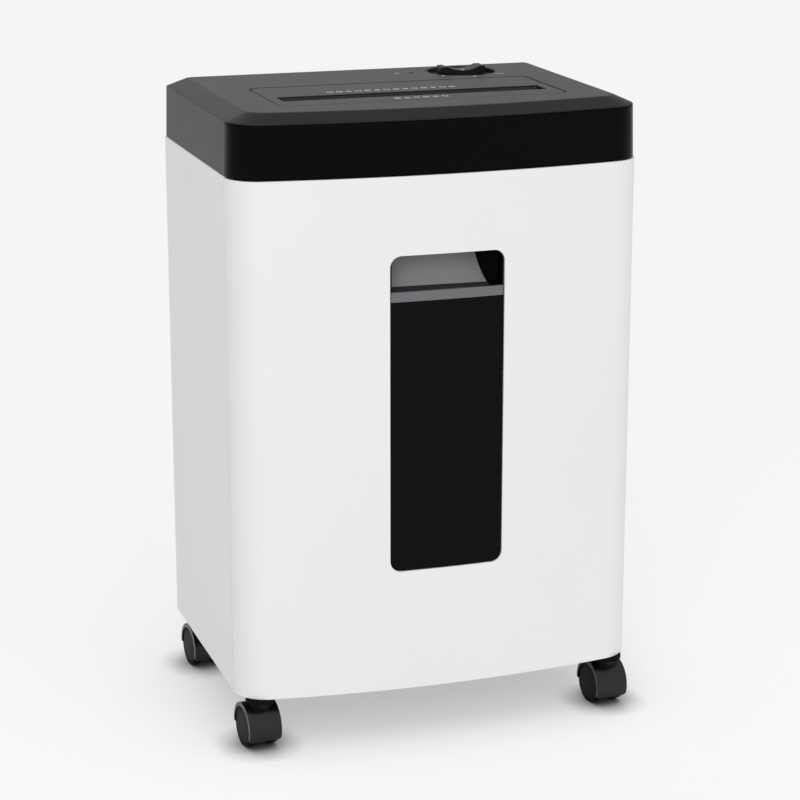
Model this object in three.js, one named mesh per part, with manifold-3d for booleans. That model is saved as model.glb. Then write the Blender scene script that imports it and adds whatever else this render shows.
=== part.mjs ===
// Free-standing office paper shredder with a pull-out waste drawer.
// Millimetres, +Z up. The origin is on the floor under the middle of the machine, the bowed
// front looks along -Y, and +X is the viewer's right.

import * as THREE from 'three';
import { mergeVertices } from 'three/addons/utils/BufferGeometryUtils.js';
import Module from 'manifold-3d';

const wasm = await Module();
wasm.setup();

// ---------------------------------------------------------------- driving dimensions

const GAP = 0.3;                 // between fixed neighbours
const SEAM = 0.6;                // between visible covers
const RUN = 0.3;                 // radial clearance of turning and sliding pieces

const cabinet = {
  width: 350,
  depth: 251,                    // from the rear panel to the top of the bow
  bottom: 46,                    // underside of the cabinet above the floor
  top: 482,                      // joint between the cabinet and the head
  bowRadius: 974,                // plan radius of the bowed front
  cornerRadius: 29,              // front corners
  rearRadius: 4,                 // rear corners
  wall: 2.5,
  rearReturn: 14,                // how far a side panel turns in behind the rear panel
  ringHeight: 12,
  ringWidth: 12.5,
  basePlate: 4,
};

const head = {
  side: 44,                      // height of its upright wall
  rise: 7.5,                     // height of the sloping border
  inset: 1,                      // step in from the cabinet at the joint
  draft: 1.15,                   // lean of the upright wall over its height
  slopeSide: 19,                 // plan width of the border, left and right
  slopeFront: 15,
  slopeRear: 9.5,
  wall: 2.5,
  roof: 2.7,
  chassisThickness: 3.8,
};

const slot = {
  y: -34,                        // middle of the feed slot
  length: 228,
  mouth: 23,                     // width at the top of the funnel
  throat: 6,                     // width at the bottom of the funnel
  funnelDepth: 14.5,
  funnelWall: 2,
  plateHalfLength: 124,
  plateFront: -72,
  plateRear: 34,
  plateRadius: 10,
  guideThickness: 1.5,
  guideRise: 18,                 // lower edge of the guides above the cabinet's top
};

const knob = {
  x: 82,
  y: 79.5,
  recessRadius: 31,
  recessDepth: 5,
  dishFlange: 2.2,
  radius: 21.5,
  stand: 5,                      // height of the grip ends above the top face
  saddle: 3.5,                   // dip in the middle of the grip
  gripWidth: 17,
  shaftRadius: 3,
};

const lamp = { x: 36.5, y: 82, radius: 2.2, depth: 6 };

const opening = {                // window and finger grip in the front panel
  halfWidth: 49,
  bottom: 150,
  top: 417,
  radius: 9.5,
  lipBottom: 379,                // joint between the window and the grip
  lipHeight: 8,
  lipThickness: 3,
  grooveWidth: 5,
  recess: 0.9,                   // window and lip stand this far behind the panel face
  flange: 5,                     // hidden border behind the panel
  flangeThickness: 2,
};

const grip = {
  depth: 41,                     // how far the finger recess goes back at its top
  wall: 1.8,
  sideSlope: 11.5,               // how far its side walls lean in towards the back
  sweepReach: 20,                // the floor runs back this far before it curves up
  sweepRise: 2,
  sweepEnd: 6,                   // upper end of the curve under the roof
};

const bin = {
  sideRoom: 33,                  // from the cabinet's outside to the bin
  frontRoom: 17.5,
  rearRoom: 25.5,
  bottom: 51.5,
  top: 368,
  wall: 2.2,
  radius: 12,
  ledgeWidth: 20,
  ledgeThickness: 3.5,
  ledgeSetback: 10,              // start of the side ledges behind the bin's front
  windowHalfWidth: 46,
  windowBottom: 156,
  windowTop: 352,
};

const rail = {
  top: 203,
  thickness: 3,
  binGap: 6,                     // beside the bin's wall
  upright: 24,
  frontRoom: 47.5,
  rearRoom: 22.5,
};

const interlock = {
  sideRoom: 20,
  depth: 15,
  width: 14,
  height: 15,
  plungerRadius: 1.8,
  bore: 9,
  travel: 2,
};

const cutter = {
  drop: 4,                       // shafts below the cabinet's top
  discRadius: 20,
  coreRadius: 12,
  journalRadius: 6,
  centres: 33,                   // distance between the two shafts
  pitch: 16,
  discWidth: 7.2,
  discs: 14,                     // on the front shaft; the rear one has one less
  steps: 12,
};

const frame = {                  // steel side frames of the cutting unit
  inner: 116,
  thickness: 2.5,
  front: -80,
  rear: 78,
  drop: 37,                      // lower edge below the cabinet's top
  earFront: -92,
  earRear: 95,
  earRise: 26,
};

const gears = {
  pressureAngle: THREE.MathUtils.degToRad(25),
  backlash: 0.36,
  addendum: 0.9,
  dedendum: 1.2,
  cutterTeeth: 20,
  pinionTeeth: 12,               // small wheel of the intermediate gear
  driveModule: 1.25,
  driveTeeth: 40,                // large wheel of the intermediate gear
  motorTeeth: 12,
  start: 121,                    // X of the cutter gears' inner face
  width: 8,
  driveStart: 131,
  driveWidth: 6,
  shaftRadius: 3,
  coverWall: 2,
  coverRoom: 1.7,                // free space between the teeth and the cover
};

const motor = { radius: 27, length: 97, shaftRadius: 2.5, bore: 18, steps: 20 };

const comb = { thickness: 3, bar: 6, barGap: 12, side: 0.8 };

const rod = { radius: 3, frontY: -73, frontRise: 18, rearY: 72, rearRise: -27 };

const lever = {
  behindSlot: 14,                // pivot behind the middle of the slot
  rise: 30,
  reach: 15.5,
  hub: 3,
  thickness: 2.4,
  pin: 1.2,
  pinLength: 10,
  ear: 2,
};

const board = { x0: -100, x1: -25, y0: 36, y1: 96, rise: 30, thickness: 1.6 };

const inlet = { x: -106, rise: 18, width: 28, height: 20, depth: 18, recess: 12, wall: 3, radius: 4 };

const caster = {
  sideRoom: 19,                  // swivel axis from the cabinet's outside
  cornerRoom: 16.35,             // front axes ahead of the middle of the corner's round
  rearRoom: 32.5,
  trail: 8,                      // wheel axis behind the swivel axis
  wheelRadius: 17,
  wheelInner: 5,                 // distance of a wheel's inner face from the middle
  wheelWidth: 8.9,
  tyreChamfer: 1.2,
  hoodRadius: 21.3,
  hoodThickness: 3.2,
  hoodHalfWidth: 15,
  hoodFrontEdge: 208,            // degrees from the rear horizontal, through the top
  hoodRearEdge: -10,
  webHalf: 4.5,
  bossRadius: 12.5,
  bossTop: 42,
  axleRadius: 1.9,
  axleHalf: 11,
  stemRadius: 3,
  socketPin: 3.5,
  collarRadius: 12.5,
  stemBottom: 22.5,
  stemTop: 60,
  socketRadius: 6.5,
  socketTop: 64,
  turn: THREE.MathUtils.degToRad(5),
};

// ---------------------------------------------------------------- values that follow

const halfWidth = cabinet.width / 2;
const rearY = cabinet.depth / 2;
const apexY = -cabinet.depth / 2;
const bowCentreY = apexY + cabinet.bowRadius;
const cornerX = halfWidth - cabinet.cornerRadius;
const cornerY = bowCentreY
  - Math.sqrt((cabinet.bowRadius - cabinet.cornerRadius) ** 2 - cornerX ** 2);
const headBase = cabinet.top + SEAM;
const headEdge = cabinet.top + head.side;
const headTop = headEdge + head.rise;
const roofUnder = headTop - head.roof;
const frontShaftY = slot.y - cutter.centres / 2;
const rearShaftY = slot.y + cutter.centres / 2;
const cutterModule = cutter.centres / gears.cutterTeeth;
const middleGearY = rearShaftY + (gears.cutterTeeth + gears.pinionTeeth) * cutterModule / 2;
const motorY = middleGearY + (gears.driveTeeth + gears.motorTeeth) * gears.driveModule / 2;
const frameOuter = frame.inner + frame.thickness;
const shaftZ = cabinet.top - cutter.drop;
const guideBottom = cabinet.top + slot.guideRise;
const binX = halfWidth - bin.sideRoom;
const binFront = apexY + bin.frontRoom;
const binRear = rearY - bin.rearRoom;
const railInner = binX + rail.binGap;
const railFront = apexY + rail.frontRoom;
const railRear = rearY - rail.rearRoom;
const switchX = halfWidth - interlock.sideRoom;
const switchFront = railRear + 1.5;
const plungerZ = rail.top + interlock.plungerRadius + 1;
const leverY = slot.y + lever.behindSlot;
const leverZ = cabinet.top + lever.rise;
const inletZ = cabinet.top + inlet.rise;
const casterX = halfWidth - caster.sideRoom;
const casterFrontY = cornerY - caster.cornerRoom;
const casterRearY = rearY - caster.rearRoom;

// ---------------------------------------------------------------- materials

function finish(colour, roughness, metalness = 0) {
  return new THREE.MeshStandardMaterial({ color: colour, roughness, metalness });
}

const finishes = {
  white: finish(0xe6e6e4, 0.45),
  grey: finish(0x5f6163, 0.55),
  gloss: finish(0x0d0d0e, 0.12),
  window: finish(0x141516, 0.08),
  grip: finish(0x8c8e90, 0.4),
  black: finish(0x232425, 0.5),
  wheel: finish(0x3a3b3c, 0.55),
  bin: finish(0x2b2d2f, 0.6),
  steel: finish(0x9ea2a5, 0.35, 0.9),
  zinc: finish(0xb4b7ba, 0.4, 0.85),
  nylon: finish(0xd9d6cc, 0.5),
  board: finish(0x1f5a36, 0.5),
  lens: finish(0x2c2f2c, 0.15),
};

// ---------------------------------------------------------------- geometry helpers

function arc(cx, cy, radius, from, to, steps) {
  const points = [];
  for (let i = 0; i <= steps; i++) {
    const angle = from + (to - from) * i / steps;
    points.push(new THREE.Vector2(cx + radius * Math.cos(angle), cy + radius * Math.sin(angle)));
  }
  return points;
}

function rectangle(x0, x1, y0, y1) {
  return [[x0, y0], [x1, y0], [x1, y1], [x0, y1]].map(([x, y]) => new THREE.Vector2(x, y));
}

function roundedRectangle(x0, x1, y0, y1, radius, steps = 4) {
  const right = Math.PI / 2;
  return [
    ...arc(x0 + radius, y0 + radius, radius, 2 * right, 3 * right, steps),
    ...arc(x1 - radius, y0 + radius, radius, 3 * right, 4 * right, steps),
    ...arc(x1 - radius, y1 - radius, radius, 0, right, steps),
    ...arc(x0 + radius, y1 - radius, radius, right, 2 * right, steps),
  ];
}

function polygon(pairs) {
  return pairs.map(([u, v]) => new THREE.Vector2(u, v));
}

// Merges shared corners and drops the empty triangles that a lathe leaves on its axis. A geometry
// without normals is a loft or the result of a cut, whose corners are shared already.
function closed(geometry) {
  if (!geometry.getAttribute('normal')) {
    return geometry;
  }
  const bare = geometry.clone();
  bare.deleteAttribute('normal');
  bare.deleteAttribute('uv');
  const merged = mergeVertices(bare, 1e-4);
  const index = merged.getIndex().array;
  const kept = [];
  for (let i = 0; i < index.length; i += 3) {
    const [a, b, c] = [index[i], index[i + 1], index[i + 2]];
    if (a !== b && b !== c && c !== a) {
      kept.push(a, b, c);
    }
  }
  merged.setIndex(kept);
  return merged;
}

function toManifold(geometry) {
  const merged = closed(geometry);
  return new wasm.Manifold(new wasm.Mesh({
    numProp: 3,
    vertProperties: new Float32Array(merged.getAttribute('position').array),
    triVerts: new Uint32Array(merged.getIndex().array),
  }));
}

function fromManifold(solid) {
  const mesh = solid.getMesh();
  const geometry = new THREE.BufferGeometry();
  geometry.setAttribute('position', new THREE.BufferAttribute(mesh.vertProperties, 3));
  geometry.setIndex(new THREE.BufferAttribute(mesh.triVerts, 1));
  return geometry;
}

function join(first, ...others) {
  return fromManifold(others.reduce((sum, item) => sum.add(toManifold(item)), toManifold(first)));
}

function cut(first, ...others) {
  return fromManifold(
    others.reduce((rest, item) => rest.subtract(toManifold(item)), toManifold(first)));
}

function common(first, second) {
  return fromManifold(toManifold(first).intersect(toManifold(second)));
}

function extrudeZ(points, z0, z1) {
  const shape = new THREE.Shape(points);
  const geometry = new THREE.ExtrudeGeometry(shape, { depth: z1 - z0, bevelEnabled: false });
  return geometry.translate(0, 0, z0);
}

// Points are (y, z).
function extrudeX(points, x0, x1) {
  const turn = new THREE.Matrix4().makeBasis(
    new THREE.Vector3(0, 1, 0), new THREE.Vector3(0, 0, 1), new THREE.Vector3(1, 0, 0));
  return extrudeZ(points, x0, x1).applyMatrix4(turn);
}

// Points are (x, z).
function extrudeY(points, y0, y1) {
  const turn = new THREE.Matrix4().makeBasis(
    new THREE.Vector3(1, 0, 0), new THREE.Vector3(0, 0, 1), new THREE.Vector3(0, -1, 0));
  return extrudeZ(points, -y1, -y0).applyMatrix4(turn);
}

function box(x0, x1, y0, y1, z0, z1) {
  return extrudeZ(rectangle(x0, x1, y0, y1), z0, z1);
}

// Profile pairs are (radius, height), listed from the bottom up the outside.
function latheZ(pairs, steps) {
  return new THREE.LatheGeometry(polygon(pairs), steps).rotateX(Math.PI / 2);
}

// Profile pairs are (radius, x), listed from low to high X along the outside.
function latheX(pairs, steps) {
  return new THREE.LatheGeometry(polygon(pairs), steps).rotateZ(-Math.PI / 2);
}

function rodZ(x, y, radius, z0, z1, steps = 16) {
  return latheZ([[0, z0], [radius, z0], [radius, z1], [0, z1]], steps).translate(x, y, 0);
}

function rodX(y, z, radius, x0, x1, steps = 12) {
  return latheX([[0, x0], [radius, x0], [radius, x1], [0, x1]], steps).translate(0, y, z);
}

function rodY(x, z, radius, y0, y1, steps = 12) {
  return rodZ(0, 0, radius, -y1, -y0, steps).rotateX(Math.PI / 2).translate(x, 0, z);
}

// A solid through outlines with the same number of points, given as {points, z} from the bottom.
function loft(rings) {
  const count = rings[0].points.length;
  const positions = rings.flatMap(({ points, z }) => points.flatMap((p) => [p.x, p.y, z]));
  const index = [];
  for (let level = 0; level + 1 < rings.length; level++) {
    for (let i = 0; i < count; i++) {
      const a = level * count + i;
      const b = level * count + (i + 1) % count;
      index.push(a, b, b + count, a, b + count, a + count);
    }
  }
  const last = (rings.length - 1) * count;
  for (const [a, b, c] of THREE.ShapeUtils.triangulateShape(rings[0].points, [])) {
    index.push(c, b, a);
  }
  for (const [a, b, c] of THREE.ShapeUtils.triangulateShape(rings[rings.length - 1].points, [])) {
    index.push(last + a, last + b, last + c);
  }
  const geometry = new THREE.BufferGeometry();
  geometry.setAttribute('position', new THREE.Float32BufferAttribute(positions, 3));
  geometry.setIndex(index);
  return geometry;
}

// Plan outline of the machine, moved in by `inset`: bowed front, round corners, square rear.
function planOutline(inset, rearInset = inset) {
  const radius = cabinet.cornerRadius - inset;
  const lean = Math.asin(cornerX / (cabinet.bowRadius - cabinet.cornerRadius));
  const down = -Math.PI / 2;
  const bow = arc(0, bowCentreY, cabinet.bowRadius - inset, down - lean, down + lean, 10);
  const right = arc(cornerX, cornerY, radius, down + lean, 0, 6).slice(1);
  const left = arc(-cornerX, cornerY, radius, -Math.PI, down - lean, 6).slice(0, -1);
  const x = halfWidth - inset;
  const y = rearY - rearInset;
  return [...bow, ...right, ...polygon([[x, y], [-x, y]]), ...left];
}

// Everything in front of the seam between the side panels and the drawer front.
function frontRegion(z0, z1, seamY = cornerY) {
  return box(-halfWidth - 5, halfWidth + 5, apexY - 5, seamY, z0, z1);
}

function bowedBand(outerInset, innerInset, z0, z1) {
  const outer = extrudeZ(planOutline(outerInset), z0, z1);
  return cut(outer, extrudeZ(planOutline(innerInset, -5), z0 - 1, z1 + 1));
}

function gearOutline(teeth, module, phase, flankSteps) {
  const pitch = teeth * module / 2;
  const base = pitch * Math.cos(gears.pressureAngle);
  const tip = pitch + gears.addendum * module;
  const root = pitch - gears.dedendum * module;
  const involute = (angle) => Math.tan(angle) - angle;
  const half = Math.PI / (2 * teeth) - gears.backlash / (4 * pitch);
  const halfAngle = (r) => half + involute(gears.pressureAngle)
    - involute(Math.acos(Math.min(1, base / r)));
  const points = [];
  for (let tooth = 0; tooth < teeth; tooth++) {
    const middle = phase + 2 * Math.PI * tooth / teeth;
    for (let side = -1; side <= 1; side += 2) {
      for (let k = 0; k <= flankSteps; k++) {
        const step = side < 0 ? k : flankSteps - k;
        const r = root + (tip - root) * step / flankSteps;
        const angle = middle + side * halfAngle(r);
        points.push(new THREE.Vector2(r * Math.cos(angle), r * Math.sin(angle)));
      }
    }
  }
  return points;
}

function gear(y, teeth, module, phase, flankSteps, x0, x1) {
  return extrudeX(gearOutline(teeth, module, phase, flankSteps), x0, x1).translate(0, y, shaftZ);
}

const shredder = new THREE.Group();

function add(name, geometry, material, parent = shredder) {
  const mesh = new THREE.Mesh(closed(geometry), material);
  mesh.name = name;
  parent.add(mesh);
}

// ---------------------------------------------------------------- cabinet

function sidePanel(side) {
  const x = side * halfWidth;
  const inner = side * (halfWidth - cabinet.wall);
  const turned = side * (halfWidth - cabinet.rearReturn);
  const r = cabinet.rearRadius;
  const front = cornerY + SEAM / 2;
  const corner = arc(side * (halfWidth - r), rearY - r, r, side > 0 ? 0 : Math.PI, Math.PI / 2, 3);
  const points = [
    new THREE.Vector2(x, front),
    ...corner,
    ...polygon([
      [turned, rearY],
      [turned, rearY - cabinet.wall],
      [inner, rearY - cabinet.wall],
      [inner, front],
    ]),
  ];
  return extrudeZ(points, cabinet.bottom, cabinet.top);
}

function rearPanel() {
  const x = halfWidth - cabinet.rearReturn - GAP;
  return box(-x, x, rearY - cabinet.wall, rearY, cabinet.bottom, cabinet.top);
}

function casterPlaces() {
  const places = [];
  for (const [row, y] of [['front', casterFrontY], ['rear', casterRearY]]) {
    for (const [column, x] of [['left', -casterX], ['right', casterX]]) {
      places.push({ name: `${row}_${column}`, x, y });
    }
  }
  return places;
}

function baseTray() {
  const inset = cabinet.wall + 1;
  const top = cabinet.bottom + cabinet.basePlate;
  const plate = extrudeZ(planOutline(inset, cabinet.wall + GAP), cabinet.bottom, top);
  const places = casterPlaces();
  const bosses = places.map(({ x, y }) => rodZ(x, y, caster.socketRadius, top - 1, caster.socketTop));
  const holes = places.map(({ x, y }) => rodZ(
    x, y, caster.socketPin + RUN, cabinet.bottom - 1, caster.stemTop + 1, 12));
  return cut(join(plate, ...bosses), ...holes);
}

function topFrame() {
  const inset = cabinet.wall + 1;
  const z1 = cabinet.top - GAP;
  const z0 = z1 - cabinet.ringHeight;
  const outer = extrudeZ(planOutline(inset, cabinet.wall + GAP), z0, z1);
  return cut(outer, extrudeZ(planOutline(inset + cabinet.ringWidth), z0 - 1, z1 + 1));
}

function drawerRail(side) {
  const outer = halfWidth - cabinet.wall - GAP;
  const points = polygon([
    [railInner, rail.top - rail.thickness],
    [outer, rail.top - rail.thickness],
    [outer, rail.top + rail.upright - rail.thickness],
    [outer - rail.thickness, rail.top + rail.upright - rail.thickness],
    [outer - rail.thickness, rail.top],
    [railInner, rail.top],
  ]);
  const bar = extrudeY(points, railFront, railRear);
  return side > 0 ? bar : bar.rotateZ(Math.PI).translate(0, railFront + railRear, 0);
}

function interlockSwitch() {
  const half = interlock.width / 2;
  const body = box(switchX - half, switchX + half, switchFront, switchFront + interlock.depth,
    plungerZ - interlock.height / 2, plungerZ + interlock.height / 2);
  const hole = rodY(switchX, plungerZ, interlock.plungerRadius + RUN,
    switchFront - 1, switchFront + interlock.bore);
  return cut(body, hole);
}

function interlockPlunger() {
  const end = switchFront + interlock.bore - interlock.travel - 0.5;
  return rodY(switchX, plungerZ, interlock.plungerRadius, binRear + GAP, end);
}

// ---------------------------------------------------------------- drawer

function openingOutline(clearance, z0, z1, radius = opening.radius) {
  const x = opening.halfWidth - clearance;
  return roundedRectangle(-x, x, z0, z1, Math.max(radius - clearance, 1));
}

function frontPanel() {
  const z0 = cabinet.bottom;
  const z1 = cabinet.top - SEAM;
  const shell = common(bowedBand(0, cabinet.wall, z0, z1), frontRegion(z0, z1, cornerY - SEAM / 2));
  const hole = extrudeY(openingOutline(0, opening.bottom, opening.top), apexY - 5, apexY + 20);
  const ribs = [-1, 1].map((side) => {
    const x = side * (opening.halfWidth + 34);
    return common(
      box(x - 1.5, x + 1.5, apexY - 5, binFront - GAP, bin.bottom + 8, bin.top - 10),
      extrudeZ(planOutline(cabinet.wall / 2), z0, z1));
  });
  return join(cut(shell, hole), ...ribs);
}

function windowPanel() {
  const z0 = opening.bottom;
  const z1 = opening.lipBottom;
  const back = cabinet.wall + GAP;
  const flange = opening.flange;
  const pane = common(
    bowedBand(opening.recess, back + opening.flangeThickness, z0 - 10, z1 + 10),
    common(
      extrudeY(openingOutline(0.4, z0 + 0.4, z1 + 20), apexY - 5, apexY + 20),
      box(-halfWidth, halfWidth, apexY - 5, 0, z0, z1 - GAP)));
  const border = common(
    bowedBand(back, back + opening.flangeThickness, z0 - 10, z1 + 10),
    box(-opening.halfWidth - flange, opening.halfWidth + flange,
      apexY, apexY + 20, z0 - flange, z1 - GAP));
  return join(pane, border);
}

// Side view of the finger recess: lip, groove behind it, and a hollow that sweeps up and back.
function gripProfile(wall) {
  const floor = opening.lipBottom + grip.wall - wall;
  const back = apexY + grip.depth + wall;
  const roof = opening.top - 0.4 - grip.wall + wall;
  const start = apexY + opening.recess + opening.lipThickness + opening.grooveWidth + wall;
  const sweep = new THREE.QuadraticBezierCurve(
    new THREE.Vector2(start, floor),
    new THREE.Vector2(start + grip.sweepReach, floor + grip.sweepRise),
    new THREE.Vector2(back, roof - grip.sweepEnd));
  return { floor, roof, back, sweep: sweep.getPoints(8) };
}

function gripSides(frontHalf, z0, z1) {
  const back = apexY + grip.depth + grip.wall;
  const rearHalf = frontHalf - grip.sideSlope;
  const points = polygon([[-frontHalf, apexY], [frontHalf, apexY], [rearHalf, back], [-rearHalf, back]]);
  const ahead = rectangle(-frontHalf, frontHalf, apexY - 5, apexY + 0.01);
  return join(extrudeZ(points, z0, z1), extrudeZ(ahead, z0, z1));
}

function gripScoop() {
  const halfWidthFront = opening.halfWidth - 0.4;
  const outer = gripProfile(grip.wall);
  const inner = gripProfile(0);
  const lipBack = apexY + opening.recess + opening.lipThickness;
  const lipTop = opening.lipBottom + opening.lipHeight;
  const outerSide = [
    ...polygon([[apexY, outer.floor]]), ...outer.sweep,
    ...polygon([[outer.back, outer.roof], [apexY, outer.roof]]),
  ];
  const hollowSide = [
    ...polygon([[apexY - 5, lipTop], [lipBack, lipTop], [lipBack, inner.floor]]), ...inner.sweep,
    ...polygon([[inner.back, inner.roof], [apexY - 5, inner.roof]]),
  ];
  const block = common(
    extrudeX(outerSide, -halfWidthFront, halfWidthFront),
    gripSides(halfWidthFront, outer.floor - 1, outer.roof + 1));
  const hollow = common(
    extrudeX(hollowSide, -halfWidthFront, halfWidthFront),
    gripSides(halfWidthFront - grip.wall, inner.floor - 1, inner.roof + 1));
  const back = cabinet.wall + GAP;
  const reach = opening.halfWidth + opening.flange;
  const border = common(
    bowedBand(back, back + opening.flangeThickness, outer.floor, outer.roof + opening.flange),
    box(-reach, reach, apexY, apexY + 20, outer.floor, outer.roof + opening.flange));
  const window = extrudeY(openingOutline(0.4, opening.bottom, opening.top - 0.4), apexY - 5, outer.back);
  const behind = common(
    box(-reach, reach, apexY, outer.back, outer.floor, outer.roof),
    extrudeZ(planOutline(back), outer.floor - 1, outer.roof + 1));
  const trimmed = common(block, join(window, behind));
  const bowed = common(trimmed, extrudeZ(planOutline(opening.recess), outer.floor, outer.roof));
  return cut(join(bowed, border), hollow);
}

function wasteBin() {
  const outer = roundedRectangle(-binX, binX, binFront, binRear, bin.radius, 3);
  const w = bin.wall;
  const inner = roundedRectangle(
    -binX + w, binX - w, binFront + w, binRear - w, bin.radius - w, 3);
  const shell = cut(
    extrudeZ(outer, bin.bottom, bin.top), extrudeZ(inner, bin.bottom + w, bin.top + 1));
  const ledges = [-1, 1].map((side) => {
    const edges = [side * (binX - w / 2), side * (binX + bin.ledgeWidth)];
    const z = rail.top + 0.5;
    return box(Math.min(...edges), Math.max(...edges), binFront + bin.ledgeSetback, binRear,
      z, z + bin.ledgeThickness);
  });
  const view = box(-bin.windowHalfWidth, bin.windowHalfWidth, binFront - 1, binFront + w + 1,
    bin.windowBottom, bin.windowTop);
  return cut(join(shell, ...ledges), view);
}

// ---------------------------------------------------------------- head

// The head's outer form moved in by `wall`: upright wall with a little draft, then a wide slope.
function headForm(wall, z0, roof) {
  const low = planOutline(head.inset + wall);
  const edge = planOutline(head.inset + head.draft + wall);
  const scaleX = (halfWidth - head.slopeSide - wall) / (halfWidth - head.inset - head.draft - wall);
  const front = apexY + head.inset + head.draft + wall;
  const rear = rearY - head.inset - head.draft - wall;
  const topFront = apexY + head.slopeFront + wall;
  const topRear = rearY - head.slopeRear - wall;
  const scaleY = (topRear - topFront) / (rear - front);
  const top = edge.map((p) => new THREE.Vector2(p.x * scaleX, topFront + (p.y - front) * scaleY));
  return loft([
    { points: low, z: z0 },
    { points: edge, z: headEdge - wall * 0.25 },
    { points: top, z: roof },
  ]);
}

function plateOutline(clearance) {
  const x = slot.plateHalfLength - clearance;
  return roundedRectangle(-x, x, slot.plateFront + clearance, slot.plateRear - clearance,
    slot.plateRadius - clearance);
}

function inletOutline(clearance) {
  const x = inlet.width / 2 - clearance;
  const z = inlet.height / 2 - clearance;
  return roundedRectangle(inlet.x - x, inlet.x + x, inletZ - z, inletZ + z, inlet.radius, 2);
}

function headTopCover() {
  const shell = cut(headForm(0, headBase, headTop), headForm(head.wall, headBase - 2, roofUnder));
  return cut(
    shell,
    frontRegion(headBase - 1, headEdge - SEAM, cornerY + SEAM / 2),
    extrudeZ(plateOutline(0), roofUnder - 10, headTop + 5),
    rodZ(knob.x, knob.y, knob.recessRadius + GAP, roofUnder - 10, headTop + 5, 32),
    rodZ(lamp.x, lamp.y, lamp.radius + GAP, roofUnder - 10, headTop + 5, 12),
    extrudeY(inletOutline(-GAP), rearY - 10, rearY + 5));
}

function headFrontFascia() {
  const top = headEdge - 2 * SEAM;
  const shell = cut(headForm(0, headBase, headTop), headForm(head.wall, headBase - 2, roofUnder));
  return common(shell, frontRegion(headBase, top, cornerY - SEAM / 2));
}

function headChassis() {
  const z0 = headBase + 0.5;
  const z1 = z0 + head.chassisThickness;
  const plate = extrudeZ(planOutline(head.inset + head.draft + head.wall + 1), z0, z1);
  const way = box(-frameOuter - 7, gears.driveStart + 19, frame.front - 4, frame.rear + 4, z0 - 1, z1 + 1);
  return cut(plate, way);
}

function funnel(spread, z0, z1) {
  const half = slot.length / 2 + spread;
  const level = (z) => {
    const share = (z - (headTop - slot.funnelDepth)) / slot.funnelDepth;
    const width = slot.throat / 2 + (slot.mouth - slot.throat) / 2 * share + spread;
    return { points: rectangle(-half, half, slot.y - width, slot.y + width), z };
  };
  return loft([level(z0), level(z1)]);
}

function feedPlate() {
  const top = extrudeZ(plateOutline(SEAM), roofUnder - GAP - 0.5, headTop - 0.1);
  const flange = extrudeZ(plateOutline(-4), roofUnder - GAP - 2.5, roofUnder - GAP);
  const bottom = headTop - slot.funnelDepth;
  const trough = funnel(slot.funnelWall, bottom, roofUnder - 1);
  return cut(join(top, flange, trough), funnel(0, bottom - 2, headTop + 2));
}

function knobDish() {
  const r = knob.recessRadius;
  const floor = headTop - knob.recessDepth;
  return latheZ([
    [knob.shaftRadius + 0.5, floor - 2], [r + knob.dishFlange, floor - 2],
    [r + knob.dishFlange, roofUnder - GAP],
    [r, roofUnder - GAP], [r, headTop - 0.2], [r - 1.2, headTop - 0.2], [r - 1.2, floor],
    [knob.shaftRadius + 0.5, floor], [knob.shaftRadius + 0.5, floor - 2],
  ], 24).translate(knob.x, knob.y, 0);
}

// Round knob with a bar grip: two raised ends and a saddle between them.
function modeKnob() {
  const floor = headTop - knob.recessDepth;
  const low = floor + 0.5;
  const deck = floor + 3;
  const top = headTop + knob.stand;
  const half = knob.radius - 0.8;
  const disc = latheZ(
    [[0, low], [knob.radius, low], [knob.radius, deck - 0.8], [knob.radius - 0.8, deck], [0, deck]], 28);
  const saddle = new THREE.QuadraticBezierCurve(
    new THREE.Vector2(half - 5, top),
    new THREE.Vector2(0, top - 2 * knob.saddle),
    new THREE.Vector2(-half + 5, top)).getPoints(6);
  const side = [...polygon([[-half, deck - 1], [half, deck - 1], [half - 0.6, top]]), ...saddle,
    ...polygon([[-half + 0.6, top]])];
  const bar = extrudeY(side, -knob.gripWidth / 2, knob.gripWidth / 2);
  const round = rodZ(0, 0, knob.radius - 0.4, deck - 1, top + 1, 28);
  const shaft = rodZ(0, 0, knob.shaftRadius, floor - 12, low + 1, 12);
  return join(disc, common(bar, round), shaft).translate(knob.x, knob.y, 0);
}

function rotarySwitch() {
  const top = headTop - knob.recessDepth - 2 - GAP;
  const half = 12;
  const body = box(knob.x - half, knob.x + half, knob.y - half, knob.y + half, top - 13, top);
  return cut(body, rodZ(knob.x, knob.y, knob.shaftRadius + RUN, top - 10.5, top + 1, 12));
}

function lampLens() {
  return rodZ(lamp.x, lamp.y, lamp.radius, headTop - lamp.depth, headTop + 0.2, 12);
}

function powerInlet() {
  const face = rearY - head.inset - head.draft - 0.5;
  const body = extrudeY(inletOutline(0), face - inlet.depth, face);
  return cut(body, extrudeY(inletOutline(inlet.wall), face - inlet.recess, face + 1));
}

function controlBoard() {
  const { x0, x1, y0, y1, thickness } = board;
  const z = cabinet.top + board.rise;
  const top = z + thickness - 0.2;
  return join(
    box(x0, x1, y0, y1, z, z + thickness),
    box(x0 + 8, x0 + 28, y0 + 8, y0 + 22, top, top + 11),
    box(x0 + 40, x0 + 66, y0 + 38, y0 + 54, top, top + 9),
    rodZ(x0 + 52, y0 + 16, 7, top, top + 12, 10));
}

// ---------------------------------------------------------------- cutting unit

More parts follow.
